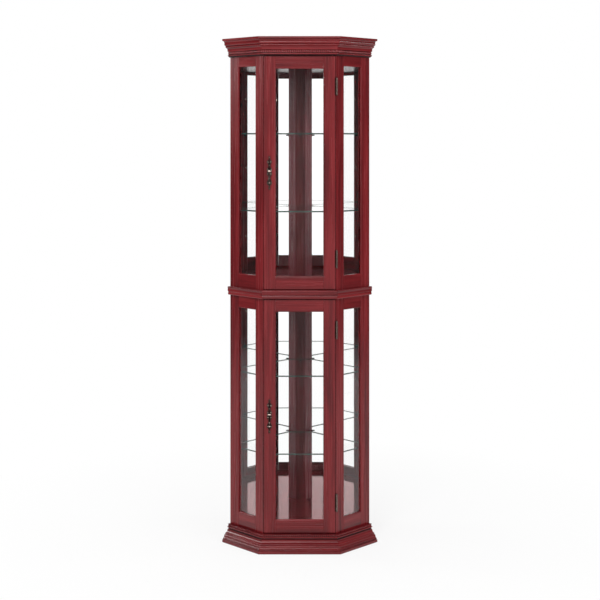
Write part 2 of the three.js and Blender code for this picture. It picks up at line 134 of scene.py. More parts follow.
def add_node(tree, kind, settings=None, inputs=None, stops=()):
    """Adds a shader node. settings are its properties, stops the places and colours of a ramp.

    inputs are values, output sockets, or nodes whose first output is meant.
    """
    made = tree.nodes.new("ShaderNode" + kind)
    for name, value in (settings or {}).items():
        setattr(made, name, value)
    for name, value in (inputs or {}).items():
        if isinstance(value, bpy.types.Node):
            value = value.outputs[0]
        if isinstance(value, bpy.types.NodeSocket):
            tree.links.new(value, made.inputs[name])
        else:
            made.inputs[name].default_value = value
    for i, (position, code) in enumerate(stops):
        elements = made.color_ramp.elements
        stop = elements[i] if i < 2 else elements.new(position)
        stop.position, stop.color = position, colour(code)
    return made


def new_material(name):
    """An empty material and its node tree."""
    material = bpy.data.materials.new(name)
    material.use_nodes = True
    material.node_tree.nodes.clear()
    return material, material.node_tree


print("middle grey in linear light:", round(colour("808080")[0], 4))

# %% [markdown]
# The studio is plain and white. The camera sees floor and world as pure white, also through glass. A
# reflection sees the room as a real studio is lit: white in front and behind, dim at both sides, with a
# white floor that ends a few metres out. So the mirrored walls show the white room, and the dark wood
# stays dark. Every other ray meets a softer world, at which a colour shows about as it is written.

# %% How bright the studio looks to each kind of ray
SIDE_LEVEL, SHARP_FRONT_LEVEL, WHITE_LEVEL = 0.12, 1.1, 1.0
SIDE_ENDS, FRONT_STARTS = 0.3, 0.75
NO_BOUNCE = 0.5


def ways_of_seeing(tree, soft_level):
    """Three nodes: 1 for a clear view, 1 for a view in a reflection, and how white the front is in it.

    soft_level is that whiteness for the blurred reflection in lacquer.
    """
    path = add_node(tree, "LightPath").outputs
    unspread = add_node(tree, "Math", LESS, {0: path["Diffuse Depth"], 1: NO_BOUNCE})
    unmirrored = add_node(tree, "Math", LESS, {0: path["Glossy Depth"], 1: NO_BOUNCE})
    through_glass = add_node(tree, "Math", TIMES, {0: path["Is Transmission Ray"], 1: unmirrored})
    direct = add_node(tree, "Math", GREATER_OF, {0: path["Is Camera Ray"], 1: through_glass})
    bounced = add_node(tree, "Math", GREATER_OF, {
        0: path["Is Glossy Ray"], 1: path["Is Transmission Ray"]})
    sharp = add_node(tree, "Math", GREATER_OF, {
        0: path["Is Singular Ray"], 1: path["Is Transmission Ray"]})
    clear = add_node(tree, "Math", TIMES, {0: direct, 1: unspread})
    reflected = add_node(tree, "Math", TIMES, {0: bounced, 1: unspread})
    front_level = add_node(tree, "Mix", inputs={0: sharp, 2: soft_level, 3: SHARP_FRONT_LEVEL})
    return clear, reflected, front_level


def level_by_side(tree, direction, front_level):
    """How bright the room is towards a direction: dim at the sides, front_level in front and behind."""
    level_part = add_node(tree, "VectorMath", TIMES, {0: direction, 1: (1, 1, 0)})
    unit = add_node(tree, "VectorMath", {"operation": "NORMALIZE"}, {0: level_part})
    forward = add_node(tree, "SeparateXYZ", inputs={0: unit}).outputs["Y"]
    facing = add_node(tree, "Math", SIZE_OF, {0: forward})
    return add_node(tree, "MapRange", inputs={
        0: facing, 1: SIDE_ENDS, 2: FRONT_STARTS, 3: SIDE_LEVEL, 4: front_level})


print("reflected room, side and front:", SIDE_LEVEL, SHARP_FRONT_LEVEL)

# %% [markdown]
# The world and the floor are the two things that a ray can end on. Near the cabinet the floor keeps a
# part of its own shading, which holds the soft shadow. Further out it only glows, so that no edge shows.

# %% Studio: world and floor
WORLD_LIGHT = 0.62
SOFT_ROOM_LEVEL, SOFT_FLOOR_LEVEL = 0.45, 0.8
FLOOR_GLOW_NEAR, SHADING_STARTS, SHADING_ENDS = 0.8, 0.3, 1.5
WHITE_FLOOR_ENDS, FAR_FLOOR_STARTS = 3.2, 5
FLOOR_SIZE = 40
WHITE = (1, 1, 1, 1)
scene.view_settings.view_transform = "Standard"

world = bpy.data.worlds.new("pale_studio")
world.use_nodes = True
tree = world.node_tree
tree.nodes.clear()
clear, reflected, front_level = ways_of_seeing(tree, SOFT_ROOM_LEVEL)
direction = add_node(tree, "NewGeometry").outputs["Incoming"]
side_level = level_by_side(tree, direction, front_level)
strength = add_node(tree, "Mix", inputs={0: reflected, 2: WORLD_LIGHT, 3: side_level})
strength = add_node(tree, "Mix", inputs={0: clear, 2: strength, 3: WHITE_LEVEL})
room = add_node(tree, "Background", inputs={"Color": WHITE, "Strength": strength})
add_node(tree, "OutputWorld", inputs={"Surface": room})
scene.world = world

floor_paint, tree = new_material("white_studio_floor")
clear, reflected, front_level = ways_of_seeing(tree, SOFT_FLOOR_LEVEL)
place = add_node(tree, "TexCoord").outputs["Object"]
distance = add_node(tree, "VectorMath", {"operation": "LENGTH"}, {0: place}).outputs["Value"]
near_share = add_node(tree, "MapRange", inputs={
    0: distance, 1: SHADING_STARTS, 2: SHADING_ENDS, 3: FLOOR_GLOW_NEAR, 4: 1})
seen_white = add_node(tree, "Math", GREATER_OF, {0: clear, 1: reflected})
glow_share = add_node(tree, "Math", TIMES, {0: seen_white, 1: near_share})
far_share = add_node(tree, "MapRange", inputs={
    0: distance, 1: WHITE_FLOOR_ENDS, 2: FAR_FLOOR_STARTS, 3: 0, 4: 1})
near_level = add_node(tree, "Math", LESSER_OF, {0: front_level, 1: WHITE_LEVEL})
far_level = level_by_side(tree, place, front_level)
strength = add_node(tree, "Mix", inputs={0: far_share, 2: near_level, 3: far_level})
strength = add_node(tree, "Mix", inputs={0: clear, 2: strength, 3: WHITE_LEVEL})
paint = add_node(tree, "BsdfDiffuse", inputs={"Color": colour("f0f0f0")})
glow = add_node(tree, "Emission", inputs={"Color": WHITE, "Strength": strength})
surface = add_node(tree, "MixShader", inputs={0: glow_share, 1: paint, 2: glow})
add_node(tree, "OutputMaterial", inputs={"Surface": surface})

bpy.ops.object.select_all(action="DESELECT")
bpy.ops.mesh.primitive_plane_add(size=FLOOR_SIZE)
floor = bpy.context.object
floor.name = "studio_floor"
floor.data.materials.append(floor_paint)
print("floor:", FLOOR_SIZE, "m")

# %% [markdown]
# Four soft boxes light the cabinet. The strongest hangs high in front, a little to the left, and draws
# the light lines on the mouldings. One fills from the right, and a smaller one stands at each side for
# the edges of the slanted sides. Each has a place, a place it is aimed at, a size and a power, in metres
# and watts.

# %% Lamps
LAMPS = {
    "key_soft_box": ((-0.7, -3.0, 3.2), (0, 0, 1.0), 1.3, 72),
    "fill_soft_box": ((2.9, -3.0, 1.9), (0, 0, 0.9), 1.8, 31),
    "left_soft_box": ((-2.9, 0.75, 1.95), (0, 0, 0.3), 0.5, 18),
    "right_soft_box": ((3.1, 0.1, 2.9), (0, 0, 0.5), 0.5, 10),
}
for name, (place, target, size, power) in LAMPS.items():
    data = bpy.data.lights.new(name, "AREA")
    data.shape = "SQUARE"
    data.size = size
    data.energy = power
    lamp = added(name, data)
    lamp.location = place
    lamp.rotation_mode = "QUATERNION"
    lamp.rotation_quaternion = (Vector(target) - Vector(place)).to_track_quat("-Z", "Y")
print("lamps:", sorted(LAMPS))

# %% [markdown]
# **Mahogany.** The real finish is mahogany stained dark cherry red under a satin lacquer. The eye sees
# long, soft ribbons of lighter and darker red that follow each board, finer streaks between them, and
# short dark pores. Noise that is stretched along the grain gives all three: one texture a few
# centimetres wide, one of a few millimetres, and one below a millimetre that also drives a slight bump.
# The Mapping node turns the grain along the board, so that rails and stiles have their own directions.

# %% Mahogany with its grain in a given direction
RIBBON_LENGTH, RIBBON_WIDTH = 420, 26
STREAK_LENGTH, STREAK_WIDTH = 160, 5
PORE_LENGTH, PORE_WIDTH = 9, 0.7
GRAIN_ROUGHNESS, STREAK_SHARE = 0.55, 0.32
FIGURE_PLACES = (0.32, 0.5, 0.68)
PORE_FROM, PORE_TO, PORE_DARKNESS, PORE_DEPTH, PORE_BUMP = 0.36, 0.46, 0.78, 0.15, 0.25
STREAK_LOW, STREAK_HIGH, SMOOTH_SHARE, DULL_SHARE = 0.3, 0.7, 0.85, 1.2


def grain_noise(tree, place, turn, length, width, detail):
    """Noise stretched to streaks of a length and width in millimetres, running along the grain."""
    mapped = add_node(tree, "Mapping", {"vector_type": "TEXTURE"}, {
        "Vector": place, "Rotation": turn, "Scale": (length * MM, width * MM, width * MM)})
    return add_node(tree, "TexNoise", inputs={
        "Vector": mapped, "Scale": 1, "Detail": detail, "Roughness": GRAIN_ROUGHNESS})


def mahogany(name, turn, dark="4e0a10", middle="6c1419", light="802226", shine=0.4, roughness=0.25,
             metallic=0.0):
    """Stained and lacquered mahogany. turn is the rotation that takes the x axis to the grain."""
    material, tree = new_material(name)
    place = add_node(tree, "TexCoord").outputs["Object"]
    ribbon = grain_noise(tree, place, turn, RIBBON_LENGTH, RIBBON_WIDTH, 2)
    streak = grain_noise(tree, place, turn, STREAK_LENGTH, STREAK_WIDTH, 3)
    pore = grain_noise(tree, place, turn, PORE_LENGTH, PORE_WIDTH, 2)
    figure = add_node(tree, "Mix", inputs={0: STREAK_SHARE, 2: ribbon, 3: streak})
    stain = add_node(tree, "ValToRGB", inputs={0: figure}, stops=zip(FIGURE_PLACES, (dark, middle, light)))
    pore_mask = add_node(tree, "MapRange", inputs={
        0: pore, 1: PORE_FROM, 2: PORE_TO, 3: PORE_DARKNESS, 4: 1})
    shaded = add_node(tree, "Mix", {"data_type": "RGBA", "blend_type": "MULTIPLY"}, {
        0: 1, 6: stain, 7: pore_mask})
    sheen = add_node(tree, "MapRange", inputs={
        0: streak, 1: STREAK_LOW, 2: STREAK_HIGH, 3: roughness * SMOOTH_SHARE, 4: roughness * DULL_SHARE})
    bump = add_node(tree, "Bump", inputs={
        "Strength": PORE_BUMP, "Distance": PORE_DEPTH * MM, "Height": pore_mask})
    lacquer = add_node(tree, "BsdfPrincipled", inputs={
        "Base Color": shaded.outputs[2], "Roughness": sheen, "Normal": bump,
        "Specular IOR Level": shine, "Metallic": metallic})
    add_node(tree, "OutputMaterial", inputs={"Surface": lacquer})
    return material


# %% [markdown]
# One recipe gives all the wood. The slanted sides have a higher polish, and the boards a deeper one that
# reflects with a red of its own, hence its share of metallic. The insides are darker as painted shade, the
# backs of the doors and the sides of the post paler as painted light from the mirrors, the narrow hollows
# of the mouldings near black as painted shade, and the beads lighter, partly rubbed stain and partly
# painted highlight.

# %% The wood finishes
UPRIGHT = (0, math.radians(-90), 0)
ACROSS = (0, 0, 0)
ALONG_RIGHT_FACET = (0, 0, math.radians(45))
ALONG_LEFT_FACET = (0, 0, math.radians(-45))
HIGH_POLISH = {"shine": 0.5, "roughness": 0.17}
wood = {
    "upright": mahogany("lacquered_mahogany_upright_grain", UPRIGHT),
    "across": mahogany("lacquered_mahogany_cross_grain", ACROSS),
    "right": mahogany("lacquered_mahogany_right_facet_grain", ALONG_RIGHT_FACET, **HIGH_POLISH),
    "left": mahogany("lacquered_mahogany_left_facet_grain", ALONG_LEFT_FACET, **HIGH_POLISH),
    # Painted shade: a darker stain for the front of the post and the ceiling panel, in place of the shade
    # inside the case
    "inner": mahogany("inner_mahogany_with_painted_shade", UPRIGHT, "3c1518", "511f22", "66292c", 0.2),
    # Painted light: a paler wood for the angled sides of the post, in place of the light that the mirrors
    # throw on them
    "post_side_painted_light": mahogany("post_sides_with_painted_mirror_light", UPRIGHT, "58282d", "6f373c", "854449", 0.4),
    # Painted shade: a near black wood for the narrow hollows of the mouldings, where shade falls
    "painted_shade_recess": mahogany("recess_mahogany_with_painted_shade", ACROSS, "1c0406", "2a070b", "380e12", 0.2),
    # Painted light: a paler wood for the backs of the doors, in place of the light that the mirrors throw
    # back on them
    "inside": mahogany("door_backs_with_painted_light", UPRIGHT, "704044", "8a5256", "9c6669"),
    "polished": mahogany("polished_mahogany_boards", ACROSS, "6a2226", "802d31", "90383c", 0.5, 0.06, 0.6),
    # Partly rubbed stain and partly painted highlight: a lighter red for the beads
    "rubbed": mahogany("rubbed_mahogany_beads_with_painted_highlight", ACROSS, "5a1c20", "74282c", "8c3a3c", 0.5, 0.13),
}
print("wood finishes:", sorted(wood))

# %% [markdown]
# **Glass and mirror.** Float glass is nearly clear, and its cut edge looks dark green because one looks
# a long way through it there. Light has to reach what stands behind a pane, so for lamps the glass gives
# way to a Transparent shader. The mirror is polished metal without any roughness.

# %% Glass and mirror
LAMPLIGHT_THROUGH_PANE = "d6d8d7"


def float_glass(name, tint, ior, roughness=0.0, passing=None, clearness=1.0):
    """Clear glass that lets the light of lamps through, dimmed by the passing colour."""
    material, tree = new_material(name)
    glass = add_node(tree, "BsdfPrincipled", inputs={
        "Base Color": colour(tint), "Roughness": roughness, "IOR": ior, "Transmission Weight": clearness})
    clear = add_node(tree, "BsdfTransparent", inputs={"Color": colour(passing or tint)})
    to_lamp = add_node(tree, "LightPath").outputs["Is Shadow Ray"]
    surface = add_node(tree, "MixShader", inputs={0: to_lamp, 1: glass, 2: clear})
    add_node(tree, "OutputMaterial", inputs={"Surface": surface})
    return material


# The panes reflect less than their real index of 1.5 would make them, as in the photograph
door_glass = float_glass("clear_door_glass", "ffffff", 1.12, passing=LAMPLIGHT_THROUGH_PANE)
facet_glass = float_glass("clear_facet_glass", "ffffff", 1.4, passing=LAMPLIGHT_THROUGH_PANE)
# At so flat an angle the broad faces would reflect and hide the green edges in the mirrors
shelf_face = float_glass("shelf_float_glass", "fdfffe", 1.02)
shelf_edge = float_glass("shelf_glass_ground_edge", "33443f", 1.45, 0.12, clearness=0.15)

silver, tree = new_material("silvered_mirror")
coat = add_node(tree, "BsdfPrincipled", inputs={
    "Base Color": colour("ffffff"), "Metallic": 1, "Roughness": 0.0})
add_node(tree, "OutputMaterial", inputs={"Surface": coat})
print("glass: panes, shelf faces and shelf edges")

# %% [markdown]
# **Brass and hardboard.** The fittings are brass that was darkened and then rubbed. Fingers reach what
# stands out, so that is worn bright, and the hollows stay dark brown; spots of about 2 mm break this up.
# The back panels are plain brown hardboard, dull and finely fibred. Its fibres are drawn 2 mm coarse,
# since finer ones don't show.

# %% Brass and hardboard
SPOT_SIZE, SPOT_SHARE, SPOT_DEPTH = 2.2, 0.5, 0.2
HOLLOW_LEVEL, CREST_LEVEL = 0.13, 0.47
PATINA_STOPS = ((0.40, "1d1614"), (0.55, "553f38"), (0.68, "ead5ca"))
DARK_FROM, BRIGHT_FROM, DARK_ROUGHNESS, BRIGHT_ROUGHNESS = 0.4, 0.7, 0.4, 0.18
FIBRE_SIZE, FIBRE_DEPTH = 2, 0.3


def aged_brass(name, field=0.0, crest=8.0):
    """Brass with a dark brown patina that is rubbed bright where it stands out to the hand.

    field and crest are how far before the door its lowest and its highest metal lies, in millimetres.
    """
    material, tree = new_material(name)
    place = add_node(tree, "TexCoord").outputs["Object"]
    spots = add_node(tree, "TexNoise", inputs={
        "Vector": place, "Scale": 1 / (SPOT_SIZE * MM), "Detail": 2, "Roughness": 0.5})
    depth = add_node(tree, "SeparateXYZ", inputs={0: place}).outputs["Y"]
    relief = add_node(tree, "MapRange", inputs={
        0: depth, 1: FRONT_Y - field * MM, 2: FRONT_Y - crest * MM, 3: HOLLOW_LEVEL, 4: CREST_LEVEL})
    worn_spots = add_node(tree, "Math", TIMES, {0: spots, 1: SPOT_SHARE})
    rubbed = add_node(tree, "Math", PLUS, {0: worn_spots, 1: relief})
    patina = add_node(tree, "ValToRGB", inputs={0: rubbed}, stops=PATINA_STOPS)
    roughness = add_node(tree, "MapRange", inputs={
        0: rubbed, 1: DARK_FROM, 2: BRIGHT_FROM, 3: DARK_ROUGHNESS, 4: BRIGHT_ROUGHNESS})
    bump = add_node(tree, "Bump", inputs={"Strength": 0.3, "Distance": SPOT_DEPTH * MM, "Height": spots})
    metal = add_node(tree, "BsdfPrincipled", inputs={
        "Base Color": patina, "Metallic": 1, "Roughness": roughness, "Normal": bump})
    add_node(tree, "OutputMaterial", inputs={"Surface": metal})
    return material


brass = aged_brass("antique_brass")
plate_brass = aged_brass("antique_brass_of_backplates", 1.55, 2.35)
drop_brass = aged_brass("antique_brass_of_drops", 5.5, 6.25)
# Both depths lie far behind the clips, which makes them rubbed all over
clip_brass = aged_brass("rubbed_brass_of_clips", -900, -800)

hardboard, tree = new_material("brown_hardboard")
place = add_node(tree, "TexCoord").outputs["Object"]
fibres = add_node(tree, "TexNoise", inputs={
    "Vector": place, "Scale": 1 / (FIBRE_SIZE * MM), "Detail": 4, "Roughness": 0.7})
fibre_colour = add_node(tree, "ValToRGB", inputs={0: fibres}, stops=((0, "3c2a20"), (1, "6b5040")))
bump = add_node(tree, "Bump", inputs={"Strength": 0.3, "Distance": FIBRE_DEPTH * MM, "Height": fibres})
board = add_node(tree, "BsdfPrincipled", inputs={
    "Base Color": fibre_colour, "Roughness": 0.75, "Normal": bump})
add_node(tree, "OutputMaterial", inputs={"Surface": board})
print("brass finishes:", [metal.name for metal in (brass, plate_brass, drop_brass, clip_brass)])

# %% [markdown]
# The panes are plain flat glass, so the CAD nodes stay as they are and only get the material.

# %% Glaze the doors and the facets
SIDES = ("left", "right")
LEVELS = ("lower", "upper")
panes = {f"{level}_door_glass": door_glass for level in LEVELS}
panes.update({f"{side}_{level}_facet_glass": facet_glass for level in LEVELS for side in SIDES})
for node, material in panes.items():
    slots = frame["nodes"][node].data.materials
    slots.clear()
    slots.append(material)
print("panes painted:", len(panes))

# %% [markdown]
# **Easing.** On the real cabinet every arris is eased by sanding, and that fine rounded edge is what
# catches the light. The CAD solids have the right form but knife-sharp edges, so each is copied, its
# loose triangles are merged into clean faces, and a narrow Bevel eases the edges. Weighted normals keep
# the broad faces flat to the eye.

# %% Copy a CAD solid with eased edges
EASED = 0.9
MERGE_DISTANCE = 0.001
FLAT_ANGLE, SHARP_ANGLE, SMOOTH_ANGLE = math.radians(1), math.radians(30), math.radians(35)


def deselect():
    """Leaves edit mode and selects nothing."""
    if bpy.context.object and bpy.context.object.mode != "OBJECT":
        bpy.ops.object.mode_set(mode="OBJECT")
    bpy.ops.object.select_all(action="DESELECT")


def pick(piece):
    """Makes a piece the only selected and active object."""
    deselect()
    piece.select_set(True)
    bpy.context.view_layer.objects.active = piece


def edit(piece):
    """Opens a piece in edit mode with all of it selected."""
    pick(piece)
    bpy.ops.object.mode_set(mode="EDIT")
    bpy.ops.mesh.select_all(action="SELECT")


def leave_edit(outward=False):
    """Leaves edit mode, after turning all faces outwards where that is asked."""
    if outward:
        bpy.ops.mesh.select_all(action="SELECT")
        bpy.ops.mesh.normals_make_consistent(inside=False)
    bpy.ops.object.mode_set(mode="OBJECT")


def apply_modifier(piece, kind, **settings):
    """Adds a modifier to a piece and applies it at once."""
    pick(piece)
    modifier = piece.modifiers.new(kind.lower(), kind)
    for name, value in settings.items():
        setattr(modifier, name, value)
    bpy.ops.object.modifier_apply(modifier=modifier.name)


def ease(piece, width=EASED, segments=2):
    """Rounds the sharp edges of a piece by a width in millimetres and smooths its shading."""
    apply_modifier(piece, "BEVEL", width=width * MM, segments=segments, limit_method="ANGLE",
                   angle_limit=SHARP_ANGLE, use_clamp_overlap=True)
    bpy.ops.object.shade_smooth_by_angle(angle=SMOOTH_ANGLE)
    apply_modifier(piece, "WEIGHTED_NORMAL", keep_sharp=True)


def dress(piece, name, body, slot, *materials, stands_for=()):
    """Names a finished piece, gives it its materials, and lets it ride on its body."""
    piece.name = name
    piece.data.name = name
    piece.data.materials.clear()
    for material in materials:
        piece.data.materials.append(material)
    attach(piece, body)
    if stands_for:
        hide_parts(*stands_for)
    return piece


def copy_of(piece):
    """A copy of a piece, with its own mesh."""
    return added(piece.name + "_copy", piece.data.copy())


def merged_copy(node):
    """A copy of a CAD node, with its loose triangles merged into whole flat faces."""
    piece = copy_of(frame["nodes"][node])
    edit(piece)
    bpy.ops.mesh.remove_doubles(threshold=MERGE_DISTANCE * MM)
    bpy.ops.mesh.dissolve_limited(angle_limit=FLAT_ANGLE)
    leave_edit()
    return piece


def eased_copy(node, body, slot, material, width=EASED):
    """An eased copy of a CAD node that stands for it."""
    piece = merged_copy(node)
    ease(piece, width)
    return dress(piece, "eased_" + node, body, slot, material, stands_for=[node])


# %% [markdown]
# **Measures.** Plans use the case's own measures, with s along a facet from the front corner and n square
# to the facet, into the case. A facet is one of the two slanted sides.

# %% Measures of the case
HALF_BODY, FRONT_SHARE = 254, 0.508
FRONT_HALF = HALF_BODY * FRONT_SHARE
ROOT2 = math.sqrt(2)
FACET_LENGTH = (HALF_BODY - FRONT_HALF) * ROOT2
FRAME_THICKNESS = 16
DOOR_STOP = 15.4
JOINT_GAP = 0.3
GROOVE_FRONT, GROOVE_BACK, GROOVE_DEPTH = 5, 8.6, 8
FRONT_STILE, OUTER_STILE = 42.5, 45
FRAME_BOTTOM, FRAME_TOP = 62.3, 1762.7
SIDE_DEPTH, REAR_FLAT, POST_SIDE, POST_FLAT_HALF = 34.7, 35, 44.5, 18.4
PANEL_THICKNESS, MIRROR_THICKNESS = 5, 3
RABBET_LIP, WALL_RETURN, WALL_END_LENGTH = 3, 11, 16
SIDE_STEP = SIDE_DEPTH / ROOT2
PANEL_OUTER = FACET_LENGTH + SIDE_STEP
PANEL_INNER = PANEL_OUTER - PANEL_THICKNESS
BOARD_EDGE = PANEL_INNER - JOINT_GAP
MIRROR_FACE = BOARD_EDGE - MIRROR_THICKNESS
WALL_END_N = SIDE_STEP + WALL_RETURN
WALL_END_S = PANEL_INNER - WALL_END_LENGTH
POST_SIDE_N = MIRROR_FACE + FRONT_HALF * ROOT2 - POST_SIDE
POST_FRONT = POST_SIDE_N * ROOT2 + POST_FLAT_HALF - FRONT_HALF
REAR_DEPTH = FRONT_HALF + PANEL_OUTER * ROOT2 - REAR_FLAT / 2
RIGHT_FACET_TURN = math.radians(45)


def on_facet(s, n):
    """The plan place on the right-hand facet, s along its face and n into the case."""
    return FRONT_HALF + (s - n) / ROOT2, (s + n) / ROOT2


print("facet", round(FACET_LENGTH, 2), "mm long, post front at", round(POST_FRONT, 2), "mm")

# %% [markdown]
# ** Working with outlines.** Most wooden parts are a flat outline that is carried on in one
# direction: a stile is its plan raised upwards, and a moulding is its profile run along a wall. So the
# start is a circle with as many corners as the outline has. The corners are moved onto the outline, and
# Extrude carries the face on. The right-hand side is modelled, and the left is its mirror image.

# %% Helpers that extrude, mirror and cut


def extruded(points, place, reach):
    """A solid that starts as a flat outline, put where place says, and is carried on by reach."""
    deselect()
    bpy.ops.mesh.primitive_circle_add(vertices=len(points), fill_type="NGON")
    piece = bpy.context.object
    for corner, point in zip(piece.data.vertices, points):
        corner.co = place(*point)
    edit(piece)
    bpy.ops.mesh.extrude_region_move(TRANSFORM_OT_translate={"value": reach})
    leave_edit(outward=True)
    return piece


def mirror_image(piece):
    """A copy of a piece on the other side of the middle plane."""
    twin = copy_of(piece)
    twin.data.transform(Matrix.Scale(-1, 4, (1, 0, 0)))
    edit(twin)
    leave_edit(outward=True)
    return twin


def both_sides(right):
    """A right-hand piece and its mirror image, each with the name of its side."""
    return ("left", mirror_image(right)), ("right", right)


def cut_away(piece, cutters, keep=False):
    """Cuts the cutters out of a piece, and deletes them unless they are kept for more cuts."""
    for cutter in cutters:
        apply_modifier(piece, "BOOLEAN", operation="DIFFERENCE", solver="EXACT", object=cutter)
        if not keep:
            bpy.data.objects.remove(cutter)


def block(x0, x1, y0, y1, z0, z1):
    """A box between two corners in millimetres, for cutting and for small metal plates."""
    deselect()
    bpy.ops.mesh.primitive_cube_add(size=1)
    piece = bpy.context.object
    low, high = spot(x0, y0, z0), spot(x1, y1, z1)
    piece.data.transform(Matrix.Translation((low + high) / 2) @ Matrix.Diagonal((*(high - low), 1)))
    return piece


def whole(half):
    """A symmetrical plan from its right half, which starts at the middle or the front."""
    return half + [(-x, y) for x, y in reversed(half)]


print("corners of the body:", whole([(HALF_BODY, HALF_BODY - FRONT_HALF)]))

# %% [markdown]
# **Moulded edges round the glass.** A cabinet maker runs a small rounded moulding, the sticking, along
# every edge that frames glass. Here one cutter for each opening takes it off all the frame pieces at
# once, so the corners come out mitred. The cutter is a rectangle that is extruded into the wood in steps
# and narrowed at each step along a quarter round. Behind the pane it widens again and cuts the rebate,
# the open step that the pane is laid into from behind. The facets have a smaller moulding than the doors.

# %% Cutters for the openings
DOOR_HALF = FRONT_HALF - 1.7
STICKING_WIDTH, STICKING_DEPTH, STICKING_PROUD = 4.6, 3.6, 1
QUIRK_DEPTH, FILLET_WIDTH = 0.7, 0.8
ROUND_STEPS = 5
FACET_STICKING_SHARE = 0.45
INSIDE_OPENING, DOOR_REBATE, FACET_REBATE, REBATE_END = -0.5, 9, 1, 17.5
DOOR_WINDOWS = {"lower": (112, 850), "upper": (978, 1716)}
FACET_WINDOWS = {"lower": (114, 854), "upper": (978, 1726)}
round_width, round_depth = STICKING_WIDTH - FILLET_WIDTH, STICKING_DEPTH - QUIRK_DEPTH
sticking = [(-STICKING_PROUD, STICKING_WIDTH)]
for step in range(ROUND_STEPS + 1):
    angle = math.radians(90) * step / ROUND_STEPS
    sticking.append((QUIRK_DEPTH + round_depth * (1 - math.cos(angle)),
                     STICKING_WIDTH - round_width * math.sin(angle)))
FACET_MIDDLE = on_facet((FRONT_STILE + FACET_LENGTH - OUTER_STILE) / 2, 0)
FACET_WINDOW_HALF = (FACET_LENGTH - OUTER_STILE - FRONT_STILE) / 2
ON_DOOR = Matrix.Translation(spot(0, 0, 0))
ON_RIGHT_FACET = Matrix.Translation(spot(*FACET_MIDDLE, 0)) @ Matrix.Rotation(RIGHT_FACET_TURN, 4, "Z")
RING_SIGNS = [(-1, -1), (1, -1), (1, 1), (-1, 1)]


def opening_cutter(half_width, bottom, top, placement, rebate, size=1.0):
    """A solid that fills an opening, takes the sticking off the wood round it, and cuts the rebate."""
    deselect()
    bpy.ops.mesh.primitive_circle_add(vertices=4, fill_type="NGON")
    piece = bpy.context.object
    rings = [(size * depth, size * width) for depth, width in sticking]
    rings += [(rings[-1][0], INSIDE_OPENING), (GROOVE_BACK, INSIDE_OPENING), (GROOVE_BACK, rebate),
              (REBATE_END, rebate)]
    for i, (depth, width) in enumerate(rings):
        if i:
            bpy.ops.object.mode_set(mode="EDIT")
            bpy.ops.mesh.extrude_region_move()
            leave_edit()
        ring = [corner for corner in piece.data.vertices if corner.select]
        for corner, (across, up) in zip(ring, RING_SIGNS):
            level = top + width if up > 0 else bottom - width
            corner.co = Vector((across * (half_width + width), depth, level)) * MM
    edit(piece)
    leave_edit(outward=True)
    piece.data.transform(placement)
    return piece


facet_cutters = [
    opening_cutter(FACET_WINDOW_HALF, *window, ON_RIGHT_FACET, FACET_REBATE, FACET_STICKING_SHARE)
    for window in FACET_WINDOWS.values()]
print("sticking steps:", [(round(depth, 1), round(width, 1)) for depth, width in sticking])

# %% [markdown]
# **Boards and facet rails.** These are the eased copies of the CAD solids. The rails of the right-hand
# facet are moulded round the glass, and their mirror images are the left-hand ones.

# %% Boards, back panels and facet rails
PANEL_EASED = 0.5
for board in ("floor_board", "top_board", "waist_board"):
    eased_copy(board, "cabinet", "mahogany", wood["polished"])
eased_copy("rear_base_board", "cabinet", "mahogany", wood["across"])
for rail in ("bottom", "middle", "top"):
    right = merged_copy(f"right_facet_{rail}_rail")
    cut_away(right, facet_cutters, keep=True)
    for side, piece in both_sides(right):
        ease(piece)
        node = f"{side}_facet_{rail}_rail"
        dress(piece, "eased_" + node, "cabinet", "mahogany", wood[side], stands_for=[node])
for side in SIDES:
    eased_copy(f"{side}_back_panel", "cabinet", "back_board", hardboard, PANEL_EASED)
print("boards, panels and facet rails made")

# %% [markdown]
# ** Doors.** A door is a frame of two stiles and two rails, moulded round its glass. The faces that look
# backwards get a paler wood, which is painted light from the mirrors. Behind the top and the bottom
# edge of each door lies a narrow stop on the case, which closes the gap against light and dust.

# %% Doors and door stops
DOOR_STILE = 42.3
DOOR_GRAINS = {"latch_stile": "upright", "hinge_stile": "upright", "bottom_rail": "across",
               "top_rail": "across"}
STOP_HALF, STOP_BACK, STOP_HEIGHT = 121, 23, 7.9
STOP_BOTTOMS = {"lower_bottom": 61.9, "lower_top": 889.5, "upper_bottom": 927.9, "upper_top": 1755.5}
FACING = 0.9
for level in LEVELS:
    cutter = opening_cutter(DOOR_HALF - DOOR_STILE, *DOOR_WINDOWS[level], ON_DOOR, DOOR_REBATE)
    for name, grain in DOOR_GRAINS.items():
        node = f"{level}_door_{name}"
        piece = merged_copy(node)
        cut_away(piece, [cutter], keep=True)
        ease(piece)
        dress(piece, "moulded_" + node, f"{level}_door", "mahogany", wood[grain], wood["inside"],
              stands_for=[node])
        # Faces that look back to the mirrors get the paler wood, a painted light
        for face in piece.data.polygons:
            face.material_index = 1 if face.normal.y > FACING else 0
    bpy.data.objects.remove(cutter)
for name, bottom in STOP_BOTTOMS.items():
    stop = block(-STOP_HALF, STOP_HALF, DOOR_STOP + JOINT_GAP, STOP_BACK, bottom, bottom + STOP_HEIGHT)
    ease(stop)
    dress(stop, f"{name}_door_stop", "cabinet", "mahogany", wood["across"])
print("doors and", len(STOP_BOTTOMS), "stops made")

# %% [markdown]
# **Raised floor and lowered ceiling.** The lower compartment has a polished panel laid on its board,
# which brings the floor closer to the lower edge of the glass, and the upper one has a thin ceiling
# panel. Both are cut to fit between the facets, the mirrors and the post.

